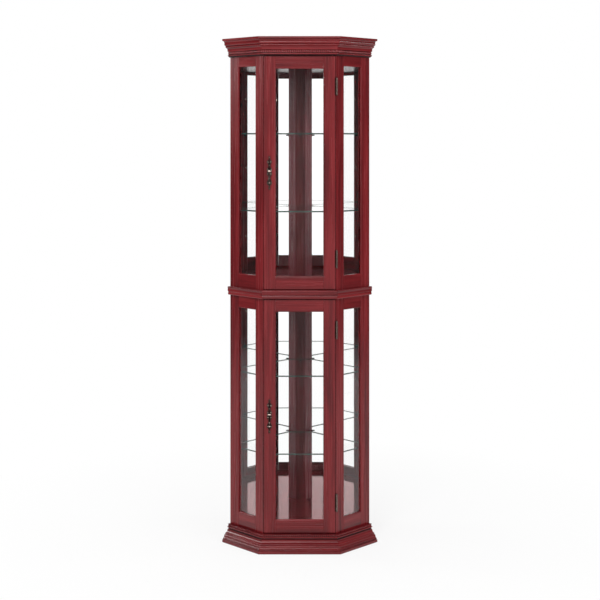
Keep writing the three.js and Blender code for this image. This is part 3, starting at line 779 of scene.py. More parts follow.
# %% Floor panel and ceiling panel
PANEL_FRONT, PANEL_GAP = 24, 0.5
# The ceiling panel takes the darker inner wood, which is painted shade
PANELS = {"raised_floor": (62.3, 20, "polished"), "ceiling": (1738, 6, "inner")}
inner_n, wall_n, post_n = FRAME_THICKNESS + PANEL_GAP, WALL_END_N + PANEL_GAP, POST_SIDE_N - PANEL_GAP
wall_s, mirror_s = WALL_END_S - PANEL_GAP, MIRROR_FACE - PANEL_GAP
panel_plan = whole([
    on_facet(PANEL_FRONT * ROOT2 - inner_n, inner_n), on_facet(wall_s, inner_n), on_facet(wall_s, wall_n),
    on_facet(mirror_s, wall_n), on_facet(mirror_s, post_n),
    on_facet((POST_FRONT - PANEL_GAP) * ROOT2 - post_n, post_n),
])
for name, (bottom, thickness, finish) in PANELS.items():
    panel = extruded(panel_plan, lambda x, y: spot(x, y, bottom), (0, 0, thickness * MM))
    ease(panel)
    dress(panel, name + "_panel", "cabinet", "mahogany", wood[finish])
print("panel corners:", len(panel_plan))

# %% [markdown]
# **Stiles and the rear post.** The front stile closes the angle between the door and the facet, so its
# plan has bevelled flanks and a groove for the glass. The outer stile turns back to the wall and holds
# the glass, the mirror and the back panel. The post is a square bar in the corner whose front edge is
# planed flat.

# %% Plans of the stiles and the post
glass_end, rabbet_n = FACET_LENGTH - OUTER_STILE, SIDE_STEP + RABBET_LIP
front_stile_plan = [
    (FRONT_HALF, 0), on_facet(FRONT_STILE, 0), on_facet(FRONT_STILE, GROOVE_FRONT),
    on_facet(FRONT_STILE - GROOVE_DEPTH, GROOVE_FRONT), on_facet(FRONT_STILE - GROOVE_DEPTH, GROOVE_BACK),
    on_facet(FRONT_STILE, GROOVE_BACK), on_facet(FRONT_STILE, FRAME_THICKNESS),
    (DOOR_STOP + FRONT_HALF - FRAME_THICKNESS * ROOT2, DOOR_STOP), (FRONT_HALF, DOOR_STOP),
]
outer_stile_plan = [
    on_facet(glass_end, 0), (HALF_BODY, HALF_BODY - FRONT_HALF), on_facet(PANEL_OUTER, SIDE_STEP),
    on_facet(PANEL_OUTER, rabbet_n), on_facet(BOARD_EDGE, rabbet_n),
    on_facet(BOARD_EDGE, WALL_END_N), on_facet(WALL_END_S, WALL_END_N),
    on_facet(WALL_END_S, FRAME_THICKNESS), on_facet(glass_end, FRAME_THICKNESS),
    on_facet(glass_end, GROOVE_BACK), on_facet(glass_end + GROOVE_DEPTH, GROOVE_BACK),
    on_facet(glass_end + GROOVE_DEPTH, GROOVE_FRONT), on_facet(glass_end, GROOVE_FRONT),
]
post_plan = whole([
    (POST_FLAT_HALF, POST_FRONT), on_facet(BOARD_EDGE, POST_SIDE_N),
    (FRONT_HALF + BOARD_EDGE * ROOT2 - REAR_DEPTH, REAR_DEPTH),
])
print("plan corners:", len(front_stile_plan), len(outer_stile_plan), len(post_plan))

# %% [markdown]
# The plans are raised over the height of the frame, and the openings cut the sticking and the rebate
# into the stiles. The right front stile then gets shallow seats for the hinge leaves. The front of the
# post has the darker inner wood as painted shade, and its two angled sides a paler wood as painted light
# from the mirrors.

# %% Raise the stiles and the post
HINGE_HEIGHT, HINGE_INSET, LEAF_WIDTH, LEAF_THICKNESS = 60, 107, 12, 1.2
DOOR_BOTTOMS, DOOR_HEIGHT = {"lower": 65, "upper": 931}, 829
SEAT_OVERRUN, FLANK_FACING = 2, 0.5
hinge_bottoms = {
    (level, end): bottom + offset - HINGE_HEIGHT / 2
    for level, bottom in DOOR_BOTTOMS.items()
    for end, offset in (("bottom", HINGE_INSET), ("top", DOOR_HEIGHT - HINGE_INSET))
}


def raised(plan):
    """A plan outline raised over the height of the frame."""
    return extruded(plan, lambda x, y: spot(x, y, FRAME_BOTTOM), (0, 0, (FRAME_TOP - FRAME_BOTTOM) * MM))


for name, plan in {"front_stile": front_stile_plan, "outer_stile": outer_stile_plan}.items():
    right = raised(plan)
    cut_away(right, facet_cutters, keep=True)
    pair = both_sides(right)
    if name == "front_stile":
        cut_away(right, [block(
            FRONT_HALF - SEAT_OVERRUN, FRONT_HALF + LEAF_THICKNESS + JOINT_GAP,
            -SEAT_OVERRUN, LEAF_WIDTH + JOINT_GAP,
            z - JOINT_GAP, z + HINGE_HEIGHT + JOINT_GAP) for z in hinge_bottoms.values()])
    for side, piece in pair:
        ease(piece)
        dress(piece, f"eased_{side}_{name}", "cabinet", "mahogany", wood["upright"],
              stands_for=[f"{side}_{name}"])

post = raised(post_plan)
ease(post)
dress(post, "eased_rear_post", "cabinet", "mahogany", wood["inner"], wood["post_side_painted_light"],
      stands_for=["rear_post"])
# Faces that turn to the mirrors get the paler wood, a painted light; the front keeps the darker one, a
# painted shade
for face in post.data.polygons:
    face.material_index = 1 if abs(face.normal.x) > FLANK_FACING else 0
for cutter in facet_cutters:
    bpy.data.objects.remove(cutter)
print("stiles and post stand from", FRAME_BOTTOM, "to", FRAME_TOP, "mm")

# %% [markdown]
# **Mouldings.** A moulding is a profile of hollows, rounds and small flats, cut into a long strip and
# mitred at the corners. The profile is written from its foot up as places outward and upward, each with
# a bulge: 0 is a straight step, a positive bulge swells out, and a negative one is hollow. The strip is
# extruded too long and cut at the mitre by Bisect, as on a saw bench.

# %% Profiles of the base, waist and cornice
ARC_STEPS = 6


def arc(start, end, bulge):
    """Points on a round from start to end, without start. The bulge is its rise over its chord."""
    if bulge == 0:
        return [end]
    half_angle = 2 * math.atan(2 * bulge)
    run, rise = end[0] - start[0], end[1] - start[1]
    points = []
    for step in range(1, ARC_STEPS + 1):
        angle = half_angle * (2 * step / ARC_STEPS - 1)
        along = 0.5 + math.sin(angle) / (2 * math.sin(half_angle))
        out = (math.cos(angle) - math.cos(half_angle)) / (2 * math.sin(half_angle))
        points.append((start[0] + run * along + rise * out, start[1] + rise * along - run * out))
    return points


def profile(foot, steps, back):
    """A closed outline from (outward, upward, bulge) steps above a foot level."""
    points = [(steps[0][0], steps[0][1])]
    for out, up, bulge in steps[1:]:
        points.extend(arc(points[-1], (out, up), bulge))
    return [(out, up + foot) for out, up in points] + back


BASE_HEIGHT, BASE_RAIL, FLOOR_BOARD_SEAT = 62, 20, 45.7
WAIST_BOTTOM, WAIST_TOP = 897, 928
CORNICE_BOTTOM, CORNICE_TOP, CORNICE_WALL, TOP_BOARD_SEAT = 1763, 1829, 18, 1779.3
base_profile = profile(0, [
    (37.4, 0, 0), (38.2, 1.4, 0), (39.2, 1.5, 0), (39.6, 2.0, 0.2), (39.6, 9.4, 0),
    (38.8, 10.3, 0.25), (35.6, 10.7, 0), (35.2, 12.4, 0),
    (36.0, 12.9, 0), (35.2, 15.6, 0.25), (30.2, 21.2, -0.16), (26.9, 26.8, 0.22), (24.6, 27.4, 0),
    (24.6, 28.8, 0), (25.3, 29.4, 0), (24.2, 31.6, 0.2), (14.2, 43.2, -0.2), (9.6, 44.0, 0),
    (9.2, 48.6, 0), (13.9, 49.2, 0), (14.6, 50.0, 0.2), (14.6, 52.2, 0), (13.8, 53.0, 0.2),
    (9.2, 53.4, 0), (9.2, 61.0, 0), (12.6, 61.3, 0), (12.8, 61.7, 0.2), (12.4, 62, 0.2),
], [(JOINT_GAP, BASE_HEIGHT), (JOINT_GAP, FLOOR_BOARD_SEAT), (-BASE_RAIL, FLOOR_BOARD_SEAT),
    (-BASE_RAIL, 0)])
waist_profile = profile(WAIST_BOTTOM, [
    (5.2, 0, 0), (8.8, 0.5, 0), (11.2, 5.6, 0.24), (10.6, 11.4, 0), (10.8, 13.2, -0.2), (12.3, 14.0, 0),
    (13, 15.2, 0.25), (13, 26.0, 0), (11.2, 31, 0.26),
], [(JOINT_GAP, WAIST_TOP), (JOINT_GAP, WAIST_BOTTOM)])
cornice_profile = profile(CORNICE_BOTTOM, [
    (5.1, 0, 0), (6.0, 1.0, 0), (9.0, 3.6, 0.2), (12.0, 4.3, 0), (12.7, 5.1, 0.2), (12.7, 8.0, 0),
    (11.9, 8.8, 0.2), (8.6, 9.2, 0), (8.6, 20.0, 0), (13.2, 20.4, 0), (13.9, 21.2, 0.2), (13.9, 24.0, 0),
    (14.4, 25.6, 0), (20.8, 34.0, -0.22), (21.8, 34.6, 0), (23.6, 39.0, 0.28), (22.0, 40.2, 0.1),
    (24.0, 41.0, 0), (29.3, 48.8, 0.26), (27.8, 50.2, 0.1), (29.4, 51.0, 0), (36.6, 57.8, -0.24),
    (38.8, 58.4, 0), (39.6, 59.4, 0.25), (39.6, 65.2, 0), (38.8, 66, 0.25),
], [(-CORNICE_WALL, CORNICE_TOP), (-CORNICE_WALL, TOP_BOARD_SEAT), (JOINT_GAP, TOP_BOARD_SEAT),
    (JOINT_GAP, CORNICE_BOTTOM)])
# Bands of height in mm whose faces get the near black wood as painted shade: hollows, undersides and the
# foot
PAINTED_SHADE_BANDS = {
    "base": [(0, 1.4), (43.9, 49.2), (53.4, 61.0)], "waist": [(897, 897.7)],
    "cornice": [(1763, 1766.7), (1772.2, 1783.0)],
}
print("profile corners:", len(base_profile), len(waist_profile), len(cornice_profile))

# %% [markdown]
# Each run is extruded too long and then sawn at its mitres, and the right-hand run is mirrored for the
# left. Faces in the narrow hollows, under the ledges and at the foot get a near black wood, which is
# painted shade.

# %% Run the mouldings round the case and cut the mitres
MITRE = math.radians(22.5)
SPARE = 60
ALONG_FACET = Vector((1 / ROOT2, 1 / ROOT2, 0))
mitre_normal = Vector((math.cos(MITRE), math.sin(MITRE), 0))


def cut_off(piece, place, normal, **side):
    """Saws a piece at a plane and closes the cut. side says which half is cleared."""
    edit(piece)
    bpy.ops.mesh.bisect(plane_co=place, plane_no=normal, use_fill=True, **side)
    leave_edit()


def moulding(name, outline):
    """Runs a profile along the front and both facets, mitred, in place of the three CAD mouldings."""
    half = FRONT_HALF + SPARE
    front = extruded(outline, lambda out, up: spot(-half, -out, up), (2 * half * MM, 0, 0))
    for sign in (1, -1):
        place = spot(sign * (FRONT_HALF - JOINT_GAP / 2), 0, 0)
        cut_off(front, place, (sign * mitre_normal.x, mitre_normal.y, 0), clear_outer=True)
    right = extruded(outline, lambda out, up: spot(*on_facet(-SPARE, -out), up),
                     (SPARE + FACET_LENGTH) * MM * ALONG_FACET)
    cut_off(right, spot(FRONT_HALF + JOINT_GAP / 2, 0, 0), mitre_normal, clear_inner=True)
    runs = {f"{name}_front_moulding": (front, "across")}
    runs.update({f"{side}_{name}_moulding": (piece, side) for side, piece in both_sides(right)})
    for node, (piece, grain) in runs.items():
        pick(piece)
        bpy.ops.object.shade_smooth_by_angle(angle=SMOOTH_ANGLE)
        dress(piece, "profiled_" + node, "cabinet", "mahogany", wood[grain], wood["painted_shade_recess"],
              stands_for=[node])
        # Faces in the painted-shade bands get the near black wood
        for face in piece.data.polygons:
            level = face.center.z / MM
            face.material_index = int(any(low < level < high for low, high in PAINTED_SHADE_BANDS[name]))


moulding("base", base_profile)
moulding("waist", waist_profile)
moulding("cornice", cornice_profile)
print("mouldings run and mitred")

# %% [markdown]
# ** Beads.** A row of small round beads runs in a narrow hollow along the top of the base and low on the
# cornice, and the near black wood of that hollow is painted shade. Each bead is about 8 mm across and a
# lighter red, partly rubbed stain and partly painted highlight. One bead is modelled, and an Array copies
# it along the run, spaced so that a whole number fills the length between the mitres.

# %% Rows of beads
BEAD_PITCH, BEAD_SQUEEZE, BEAD_SIDES, BEAD_RINGS = 7.3, 0.84, 10, 7
BEADS = {"base": (9.9, 57.2, 3.8), "cornice": (9.6, 1777.6, 4.7)}
TO_OTHER_SIDE = Vector((-1, 1, 1))


def bead_row(name, start, end, radius):
    """Fills the line between two places with beads."""
    count = round((end - start).length / (BEAD_PITCH * MM))
    step = (end - start) / count
    deselect()
    bpy.ops.mesh.primitive_uv_sphere_add(segments=BEAD_SIDES, ring_count=BEAD_RINGS, radius=radius * MM)
    piece = bpy.context.object
    squeeze = Matrix.Diagonal((BEAD_SQUEEZE, BEAD_SQUEEZE, 1, 1))
    piece.data.transform(Matrix.Translation(start + step / 2) @ squeeze)
    apply_modifier(piece, "ARRAY", count=count, use_relative_offset=False, use_constant_offset=True,
                   constant_offset_displace=step)
    bpy.ops.object.shade_smooth()
    # The lighter red of the beads is partly rubbed stain and partly a painted highlight
    dress(piece, name, "cabinet", "mahogany", wood["rubbed"])
    return count


total = 0
for name, (out, level, radius) in BEADS.items():
    tip = spot(*on_facet(FACET_LENGTH, -out), level)
    corner = spot(FRONT_HALF + out * math.tan(MITRE), -out, level)
    total += bead_row(f"{name}_front_beads", corner * TO_OTHER_SIDE, corner, radius)
    total += bead_row(f"right_{name}_beads", corner, tip, radius)
    total += bead_row(f"left_{name}_beads", corner * TO_OTHER_SIDE, tip * TO_OTHER_SIDE, radius)
print("beads:", total)

# %% [markdown]
# **Glass shelves.** Each shelf is a 5 mm plate of float glass with ground, slightly rounded edges. The
# broad faces stay clear, and the edges get the dark green glass. Which face is which is told by its
# normal. The mirrors are copied too, because each one leans a third of a degree out of square, as the
# doubled image in the photograph shows.

# %% Shelves and mirrors
MIRROR_LEAN = math.radians(0.3)
GROUND_EDGE, MIRROR_EASED = 0.7, 0.5
for level in LEVELS:
    for place in ("bottom", "top"):
        node = f"{level}_{place}_shelf"
        piece = merged_copy(node)
        ease(piece, GROUND_EDGE)
        dress(piece, "ground_" + node, "cabinet", "shelf_glass", shelf_face, shelf_edge, stands_for=[node])
        for face in piece.data.polygons:
            face.material_index = 0 if abs(face.normal.z) > FACING else 1
    for side, sign in (("left", -1), ("right", 1)):
        node = f"{side}_{level}_mirror"
        piece = merged_copy(node)
        back_corner = spot(*on_facet(MIRROR_FACE + MIRROR_THICKNESS, POST_SIDE_N), 0)
        hinge_line = back_corner * Vector((sign, 1, 1))
        turn = Matrix.Translation(hinge_line) @ Matrix.Rotation(-sign * MIRROR_LEAN, 4, "Z")
        piece.data.transform(turn @ Matrix.Translation(-hinge_line))
        ease(piece, MIRROR_EASED)
        dress(piece, "polished_" + node, "cabinet", "mirror", silver, stands_for=[node])
print("shelves and mirrors dressed")

# %% [markdown]
# **Turned and cast metal.** The small fittings are turned on a lathe, so each is a half outline that
# Spin carries round an axis. One slotted screw is made once and copied to every place that needs one.
# Pieces that belong together are joined.

# %% Turned pieces
TURNED_SIDES, SMALL_SIDES = 20, 16


def turned(outline, sides=TURNED_SIDES):
    """A turned solid about the z axis, from (radius, height) points in millimetres, foot first."""
    deselect()
    bpy.ops.mesh.primitive_circle_add(vertices=len(outline))
    piece = bpy.context.object
    for corner, (radius, height) in zip(piece.data.vertices, outline):
        corner.co = Vector((radius, 0, height)) * MM
    edit(piece)
    bpy.ops.mesh.spin(steps=sides, angle=math.tau, center=(0, 0, 0), axis=(0, 0, 1))
    bpy.ops.mesh.select_all(action="SELECT")
    bpy.ops.mesh.remove_doubles(threshold=MERGE_DISTANCE * MM)
    leave_edit(outward=True)
    bpy.ops.object.shade_smooth_by_angle(angle=SMOOTH_ANGLE)
    return piece


def domed(outline, top, bulge):
    """An outline for turning that a round closes, up to a height on the axis."""
    return outline + arc(outline[-1], (0, top), bulge)


def aim(piece, place, direction):
    """Moves a turned piece so that its foot is at place and its axis points along direction."""
    turn = Vector(direction).to_track_quat("Z", "Y").to_matrix().to_4x4()
    piece.data.transform(Matrix.Translation(place) @ turn)
    return piece


def joined(pieces):
    """Joins pieces into the first one."""
    deselect()
    for piece in pieces:
        piece.select_set(True)
    bpy.context.view_layer.objects.active = pieces[0]
    bpy.ops.object.join()
    return pieces[0]


# %% A slotted screw
SCREW_RADIUS, SCREW_SIDES = 1.9, 14
SLOT_WIDTH, SLOT_LENGTH, SLOT_HEIGHT, SLOT_MIDDLE = 0.5, 5, 0.7, 0.6
model_screw = turned([(0, -0.4), (SCREW_RADIUS, -0.4), (SCREW_RADIUS, 0.1), (SCREW_RADIUS * 0.6, 0.5),
                      (0, 0.6)], SCREW_SIDES)
deselect()
bpy.ops.mesh.primitive_cube_add(size=1)
slot_cutter = bpy.context.object
slot_cutter.data.transform(Matrix.Translation((0, 0, SLOT_MIDDLE * MM)) @ Matrix.Diagonal(
    (SLOT_WIDTH * MM, SLOT_LENGTH * MM, SLOT_HEIGHT * MM, 1)))
cut_away(model_screw, [slot_cutter])


def screw(place, direction, size=1.0):
    """A copy of the screw with its head at place, facing direction."""
    head = copy_of(model_screw)
    head.data.transform(Matrix.Scale(size, 4))
    return aim(head, place, direction)


print("screw faces:", len(model_screw.data.polygons))

# %% [markdown]
# **Hinges.** Each door hangs on two brass butt hinges. The fixed leaf lies in its seat in the stile and
# has three of the five knuckles and the pin with its ball tips. The door leaf has the other two and
# rides on the door. The leaves lie in the gap beside the door, so mostly the barrel shows.

# %% Hinges
BARREL_X, BARREL_Y, BARREL_RADIUS, BARREL_BORE = FRONT_HALF + 3.5, -1.5, 3, 1.5
KNUCKLES, KNUCKLE_EASED, LEAF_EASED = 5, 0.3, 0.2
HALF_LEAF, LEAF_FRONT, FOLD_END, FOLD_SHORT = LEAF_THICKNESS / 2, 1, 1.2, 1
SCREW_OUT, SCREW_BACK, SCREW_SHARES = 0.15, 7, (0.2, 0.8)
HINGE_PIN, PIN_PROUD, RIM_RADIUS, RIM_TOP = 1.2, 0.3, BARREL_RADIUS * 0.9, 0.5
NECK_RADIUS, NECK_TOP, BALL_TOP = BARREL_RADIUS * 0.62, 0.7, 3.4
ball_tip = arc((NECK_RADIUS, NECK_TOP), (0, BALL_TOP), 0.24)


def sleeve(bore, radius, length):
    """A short tube with its edges eased, such as a knuckle."""
    shoulder = radius - KNUCKLE_EASED
    return turned([(bore, 0), (shoulder, 0), (radius, KNUCKLE_EASED), (radius, length - KNUCKLE_EASED),
                   (shoulder, length), (bore, length)])


def hinge_leaf(bottom, on_door):
    """A leaf with its own knuckles and its screws. The fixed leaf has the pin as well."""
    step, middle = HINGE_HEIGHT / KNUCKLES, bottom + HINGE_HEIGHT / 2
    if on_door:
        inner, outer, front = DOOR_HALF - LEAF_THICKNESS, DOOR_HALF, BARREL_Y - HALF_LEAF
        head_x, facing = outer - SCREW_OUT, (1, 0, 0)
        fold = (inner, BARREL_X - FOLD_SHORT, BARREL_Y - HALF_LEAF, BARREL_Y + HALF_LEAF)
    else:
        inner, outer, front = FRONT_HALF, FRONT_HALF + LEAF_THICKNESS, LEAF_FRONT
        head_x, facing = inner + SCREW_OUT, (-1, 0, 0)
        fold = (inner, outer, BARREL_Y + HALF_LEAF, FOLD_END)
    plates = [block(inner, outer, front, LEAF_WIDTH, bottom, bottom + HINGE_HEIGHT)]
    parts = list(plates)
    for i in range(1 if on_door else 0, KNUCKLES, 2):
        low = bottom + i * step + (JOINT_GAP / 2 if i else 0)
        high = bottom + (i + 1) * step - (JOINT_GAP / 2 if i < KNUCKLES - 1 else 0)
        knuckle = sleeve(BARREL_BORE, BARREL_RADIUS, high - low)
        parts.append(aim(knuckle, spot(BARREL_X, BARREL_Y, low), (0, 0, 1)))
        plates.append(block(*fold, low, high))
        parts.append(plates[-1])
    for plate in plates:
        ease(plate, LEAF_EASED, 1)
    for share in SCREW_SHARES:
        parts.append(screw(spot(head_x, SCREW_BACK, bottom + share * HINGE_HEIGHT), facing))
    if not on_door:
        reach = HINGE_HEIGHT / 2 + PIN_PROUD
        half_pin = [(0, 0), (HINGE_PIN, 0), (HINGE_PIN, reach), (RIM_RADIUS, reach),
                    (RIM_RADIUS, reach + RIM_TOP), (NECK_RADIUS, reach + NECK_TOP)]
        half_pin += [(radius, reach + height) for radius, height in ball_tip]
        for direction in ((0, 0, 1), (0, 0, -1)):
            parts.append(aim(turned(half_pin), spot(BARREL_X, BARREL_Y, middle), direction))
    return joined(parts)


for (level, end), bottom in hinge_bottoms.items():
    for leaf, body in (("fixed", "cabinet"), ("door", f"{level}_door")):
        node = f"{level}_{end}_hinge_{leaf}_leaf"
        dress(hinge_leaf(bottom, leaf == "door"), "brass_" + node, body, "antique_brass", brass,
              stands_for=[node])
print("hinges:", len(hinge_bottoms))

# %% [markdown]
# **Pulls.** Each door has a cast brass pull in an old pattern: a long pierced backplate with a raised
# rim, curled scrolls and small bosses, and a flat baluster-shaped drop. The drop hangs on a bar between
# two ears and swings. Both castings start from half an outline, written from its foot up with a bulge
# for each round, in millimetres from the middle of the plate.

# %% Outlines of the pull
PULL_X = -(DOOR_HALF - 19.8)
PLATE_THICKNESS = 1.6
FACE_Y = -(JOINT_GAP + PLATE_THICKNESS)
BAR_OUT, BAR_RISE, BAR_RADIUS = 5, 6, 1.2
KNUCKLE_RADIUS, KNUCKLE_LENGTH = 2.3, 7
plate_half = [
    (0, -60, 0), (2.6, -58.4, 0.28), (3.5, -54.8, 0.22), (2.2, -51.2, 0.2), (3.2, -46.6, -0.22),
    (7.0, -41.4, -0.08), (8.4, -35.0, 0.26), (7.2, -29.6, 0.2), (4.6, -24.0, 0.1), (4.1, -16.6, -0.16),
    (6.6, -10.0, -0.12), (8.4, -3.4, 0.2), (7.6, 2.6, 0.2), (7.6, 7.4, -0.2), (8.4, 12.0, 0.22),
    (6.4, 19.0, 0.16), (4.0, 25.4, -0.1), (5.4, 31.0, -0.16), (8.0, 36.6, 0.1), (6.9, 43.4, 0.28),
    (3.2, 47.6, 0.12), (2.2, 51.4, -0.24), (3.6, 54.8, 0.22), (2.6, 58.6, 0.24), (0, 60, 0.18),
]
drop_half = [
    (0, -48, 0), (2.2, -46.0, 0.1), (4.9, -40.4, -0.06), (5.4, -35.4, 0.22), (4.2, -30.8, 0.14),
    (2.5, -25.0, -0.16), (3.3, -20.4, 0.22), (2.6, -16.6, 0.2), (1.7, -8.6, -0.1), (2.1, 0, -0.08),
    (3.0, 4.8, 0.1), (0, 4.8, 0),
]


def both_halves(half):
    """The whole outline from its right half, which runs from the foot to the top."""
    points = [half[0][:2]]
    for across, up, bulge in half[1:]:
        points.extend(arc(points[-1], (across, up), bulge))
    return points + [(-across, up) for across, up in reversed(points[1:-1])]


print("plate outline points:", len(both_halves(plate_half)))

# %% [markdown]
# A casting is extruded from its outline, and two insets of its front face leave a raised rim round a sunk
# field. A scroll is a curl of round wire that tapers to its end: a curve with a bevel, turned to a mesh.

# %% Castings and scrolls
FIELD_SLOPE = 0.3
SCROLL_POINTS, SCROLL_TURNS, SCROLL_RADIUS, SCROLL_CURL, SCROLL_TAPER = 22, 1.4, 0.55, 0.8, 0.45


def casting(outline, middle, back, front, rim, sink):
    """A flat casting with a raised rim round a sunk field. Its front looks towards -y."""
    piece = extruded(outline, lambda across, up: spot(PULL_X + across, back, middle + up),
                     (0, (front - back) * MM, 0))
    edit(piece)
    bpy.ops.mesh.select_all(action="DESELECT")
    leave_edit()
    broad = [face for face in piece.data.polygons if len(face.vertices) == len(outline)]
    min(broad, key=lambda face: face.center.y).select = True
    bpy.ops.object.mode_set(mode="EDIT")
    bpy.ops.mesh.inset(thickness=rim * MM)
    bpy.ops.mesh.inset(thickness=FIELD_SLOPE * MM, depth=-sink * MM)
    leave_edit()
    return piece


def scroll(across, up, reach, middle):
    """A curl of wire on the face of the plate, its end turned to the middle of the plate."""
    deselect()
    bpy.ops.curve.primitive_nurbs_path_add()
    path = bpy.context.object
    spline = path.data.splines[0]
    spline.points.add(SCROLL_POINTS - len(spline.points))
    for i, point in enumerate(spline.points):
        share = i / (SCROLL_POINTS - 1)
        angle = SCROLL_TURNS * math.tau * share
        out = reach * (1 - share) ** SCROLL_CURL
        x = out * math.cos(angle) * math.copysign(1, across)
        z = out * math.sin(angle) * math.copysign(1, up)
        point.co = (*spot(PULL_X + across + x, FACE_Y, middle + up + z), 1)
        point.radius = 1 - SCROLL_TAPER * share
    spline.use_endpoint_u = True
    path.data.bevel_depth = SCROLL_RADIUS * MM
    path.data.bevel_resolution = 2
    path.data.use_fill_caps = True
    bpy.ops.object.convert(target="MESH")
    bpy.ops.object.shade_smooth()
    return bpy.context.object


print("a scroll has", SCROLL_POINTS, "points")

# %% [markdown]
# **Backplates.** Small oval rods, each turned a little to follow the scrolls, pierce the plate. The
# scrolls, bosses and screws lie on it, and two turned ears carry the bar. Holes and scrolls are given for
# the right half, as places and sizes, and repeated on the left.

# %% How a backplate is cast
TO_FRONT = (0, -1, 0)
holes = [(3.1, -35.2, 1.0, 3.2), (3.0, 38.2, 0.95, 2.8), (2.6, 19.4, 0.8, 2.6), (2.7, -10.6, 0.8, 2.6),
         (0, -42.8, 1.1, 1.7), (0, 44.4, 1.1, 1.5), (5.9, -29.4, 0.6, 1.1), (5.6, 32.6, 0.6, 1.1)]
scrolls = [(4.7, -35.6, 2.5), (4.5, 37.6, 2.4), (5.3, 12.4, 1.9), (5.2, -3.6, 1.9)]
HOLE_TILT, HOLE_SIDES, ROD_LENGTH = math.radians(12), 14, 6
PLATE_RIM, PLATE_SINK, PLATE_EASED = 0.7, 0.45, 0.12
BOSS_LEVELS, PLATE_SCREW_LEVELS = (-26.4, 26.6), (-54.6, 54.8)
BOSS_SUNK, SCREW_SUNK, EAR_SUNK = 0.4, 0.35, 0.5
EAR_X, BAR_HALF = KNUCKLE_LENGTH / 2 + JOINT_GAP + 0.9, KNUCKLE_LENGTH / 2 + JOINT_GAP + 1.8
boss_outline = domed([(0, -0.6), (1.9, -0.6), (1.9, 0.2), (1.5, 0.5)], 1.5, 0.22)
ear_outline = domed([(0, 0), (1.7, 0), (1.7, 0.7), (1.1, 1.1), (0.95, 2.2), (1.2, 2.8)], 5.9, 0.34)
bar_outline = domed([(0, 0), (BAR_RADIUS, 0), (BAR_RADIUS, BAR_HALF - 0.3)], BAR_HALF + 0.8, 0.2)


def backplate(middle):
    """The pierced plate with its scrolls, bosses, screws, ears and bar."""
    bar_level = middle + BAR_RISE
    plate = casting(both_halves(plate_half), middle, -JOINT_GAP, FACE_Y, PLATE_RIM, PLATE_SINK)
    rods = []
    for across, up, wide, tall in holes:
        for side in ((1, -1) if across else (1,)):
            rod = turned([(0, 0), (1, 0), (1, ROD_LENGTH), (0, ROD_LENGTH)], HOLE_SIDES)
            rod.data.transform(Matrix.Diagonal((wide, tall, 1, 1)))
            rod.data.transform(Matrix.Rotation(-side * math.copysign(HOLE_TILT, up), 4, "Z"))
            rods.append(aim(rod, spot(PULL_X + side * across, 1, middle + up), TO_FRONT))
    cut_away(plate, rods)
    ease(plate, PLATE_EASED, 1)
    parts = [plate]
    for across, up, reach in scrolls:
        parts += [scroll(side * across, up, reach, middle) for side in (1, -1)]
    for up in BOSS_LEVELS:
        boss = turned(boss_outline, SMALL_SIDES)
        parts.append(aim(boss, spot(PULL_X, FACE_Y + BOSS_SUNK, middle + up), TO_FRONT))
    for up in PLATE_SCREW_LEVELS:
        parts.append(screw(spot(PULL_X, FACE_Y + SCREW_SUNK, middle + up), TO_FRONT))
    for side in (1, -1):
        ear = turned(ear_outline, SMALL_SIDES)
        parts.append(aim(ear, spot(PULL_X + side * EAR_X, FACE_Y + EAR_SUNK, bar_level), TO_FRONT))
    for side in (1, -1):
        half_bar = turned(bar_outline, SMALL_SIDES)
        parts.append(aim(half_bar, spot(PULL_X, -BAR_OUT, bar_level), (side, 0, 0)))
    return joined(parts)


print("kinds of hole in a backplate:", len(holes))

# %% [markdown]
# **Drops.** The drop is a smaller casting with two domes. Its head is cut out for a knuckle that turns on
# the bar, so it rides on a body of its own and swings.

# %% Cast the pulls
DROP_BACK, DROP_FRONT, DROP_RIM, DROP_SINK, DROP_EASED = 1.1, 0.9, 0.9, 0.4, 0.14
KNUCKLE_ROOM, DOME_SUNK, DOME_RISE = 0.4, 0.5, 0.55
DOMES = ((-35.6, 2.6), (-20.6, 1.5))


def drop(middle):
    """The hanging drop with its knuckle, bored for the bar."""
    bar_level, room = middle + BAR_RISE, KNUCKLE_RADIUS - KNUCKLE_ROOM
    body = casting(both_halves(drop_half), middle, -BAR_OUT + DROP_BACK, -BAR_OUT - DROP_FRONT,
                   DROP_RIM, DROP_SINK)
    rod = turned([(0, 0), (room, 0), (room, 2 * ROD_LENGTH), (0, 2 * ROD_LENGTH)], SMALL_SIDES)
    cut_away(body, [aim(rod, spot(PULL_X - ROD_LENGTH, -BAR_OUT, bar_level), (1, 0, 0))])
    ease(body, DROP_EASED, 1)
    knuckle = sleeve(BAR_RADIUS + JOINT_GAP, KNUCKLE_RADIUS, KNUCKLE_LENGTH)
    parts = [body, aim(knuckle, spot(PULL_X - KNUCKLE_LENGTH / 2, -BAR_OUT, bar_level), (1, 0, 0))]
    for up, radius in DOMES:
        outline = [(0, -DOME_SUNK), (radius, -DOME_SUNK), (radius, 0)]
        dome = turned(domed(outline, radius * DOME_RISE, 0.2), SMALL_SIDES)
        parts.append(aim(dome, spot(PULL_X, -BAR_OUT - DOME_SUNK, middle + up), TO_FRONT))
    return joined(parts)


for level, bottom in DOOR_BOTTOMS.items():
    middle = bottom + DOOR_HEIGHT / 2
    dress(backplate(middle), f"cast_{level}_pull_plate", f"{level}_door", "antique_brass", plate_brass,
          stands_for=[f"{level}_pull_plate"])
    dress(drop(middle), f"cast_{level}_pull_drop", f"{level}_pull_drop", "antique_brass", drop_brass,
          stands_for=[f"{level}_pull_drop"])
print("pulls cast:", len(DOOR_BOTTOMS))

# %% [markdown]
# **Shelf pins.** Each shelf rests on five turned brass pins, two in each side frame and one in the post.
# One pin is turned, and copies of it are aimed out of the wood.

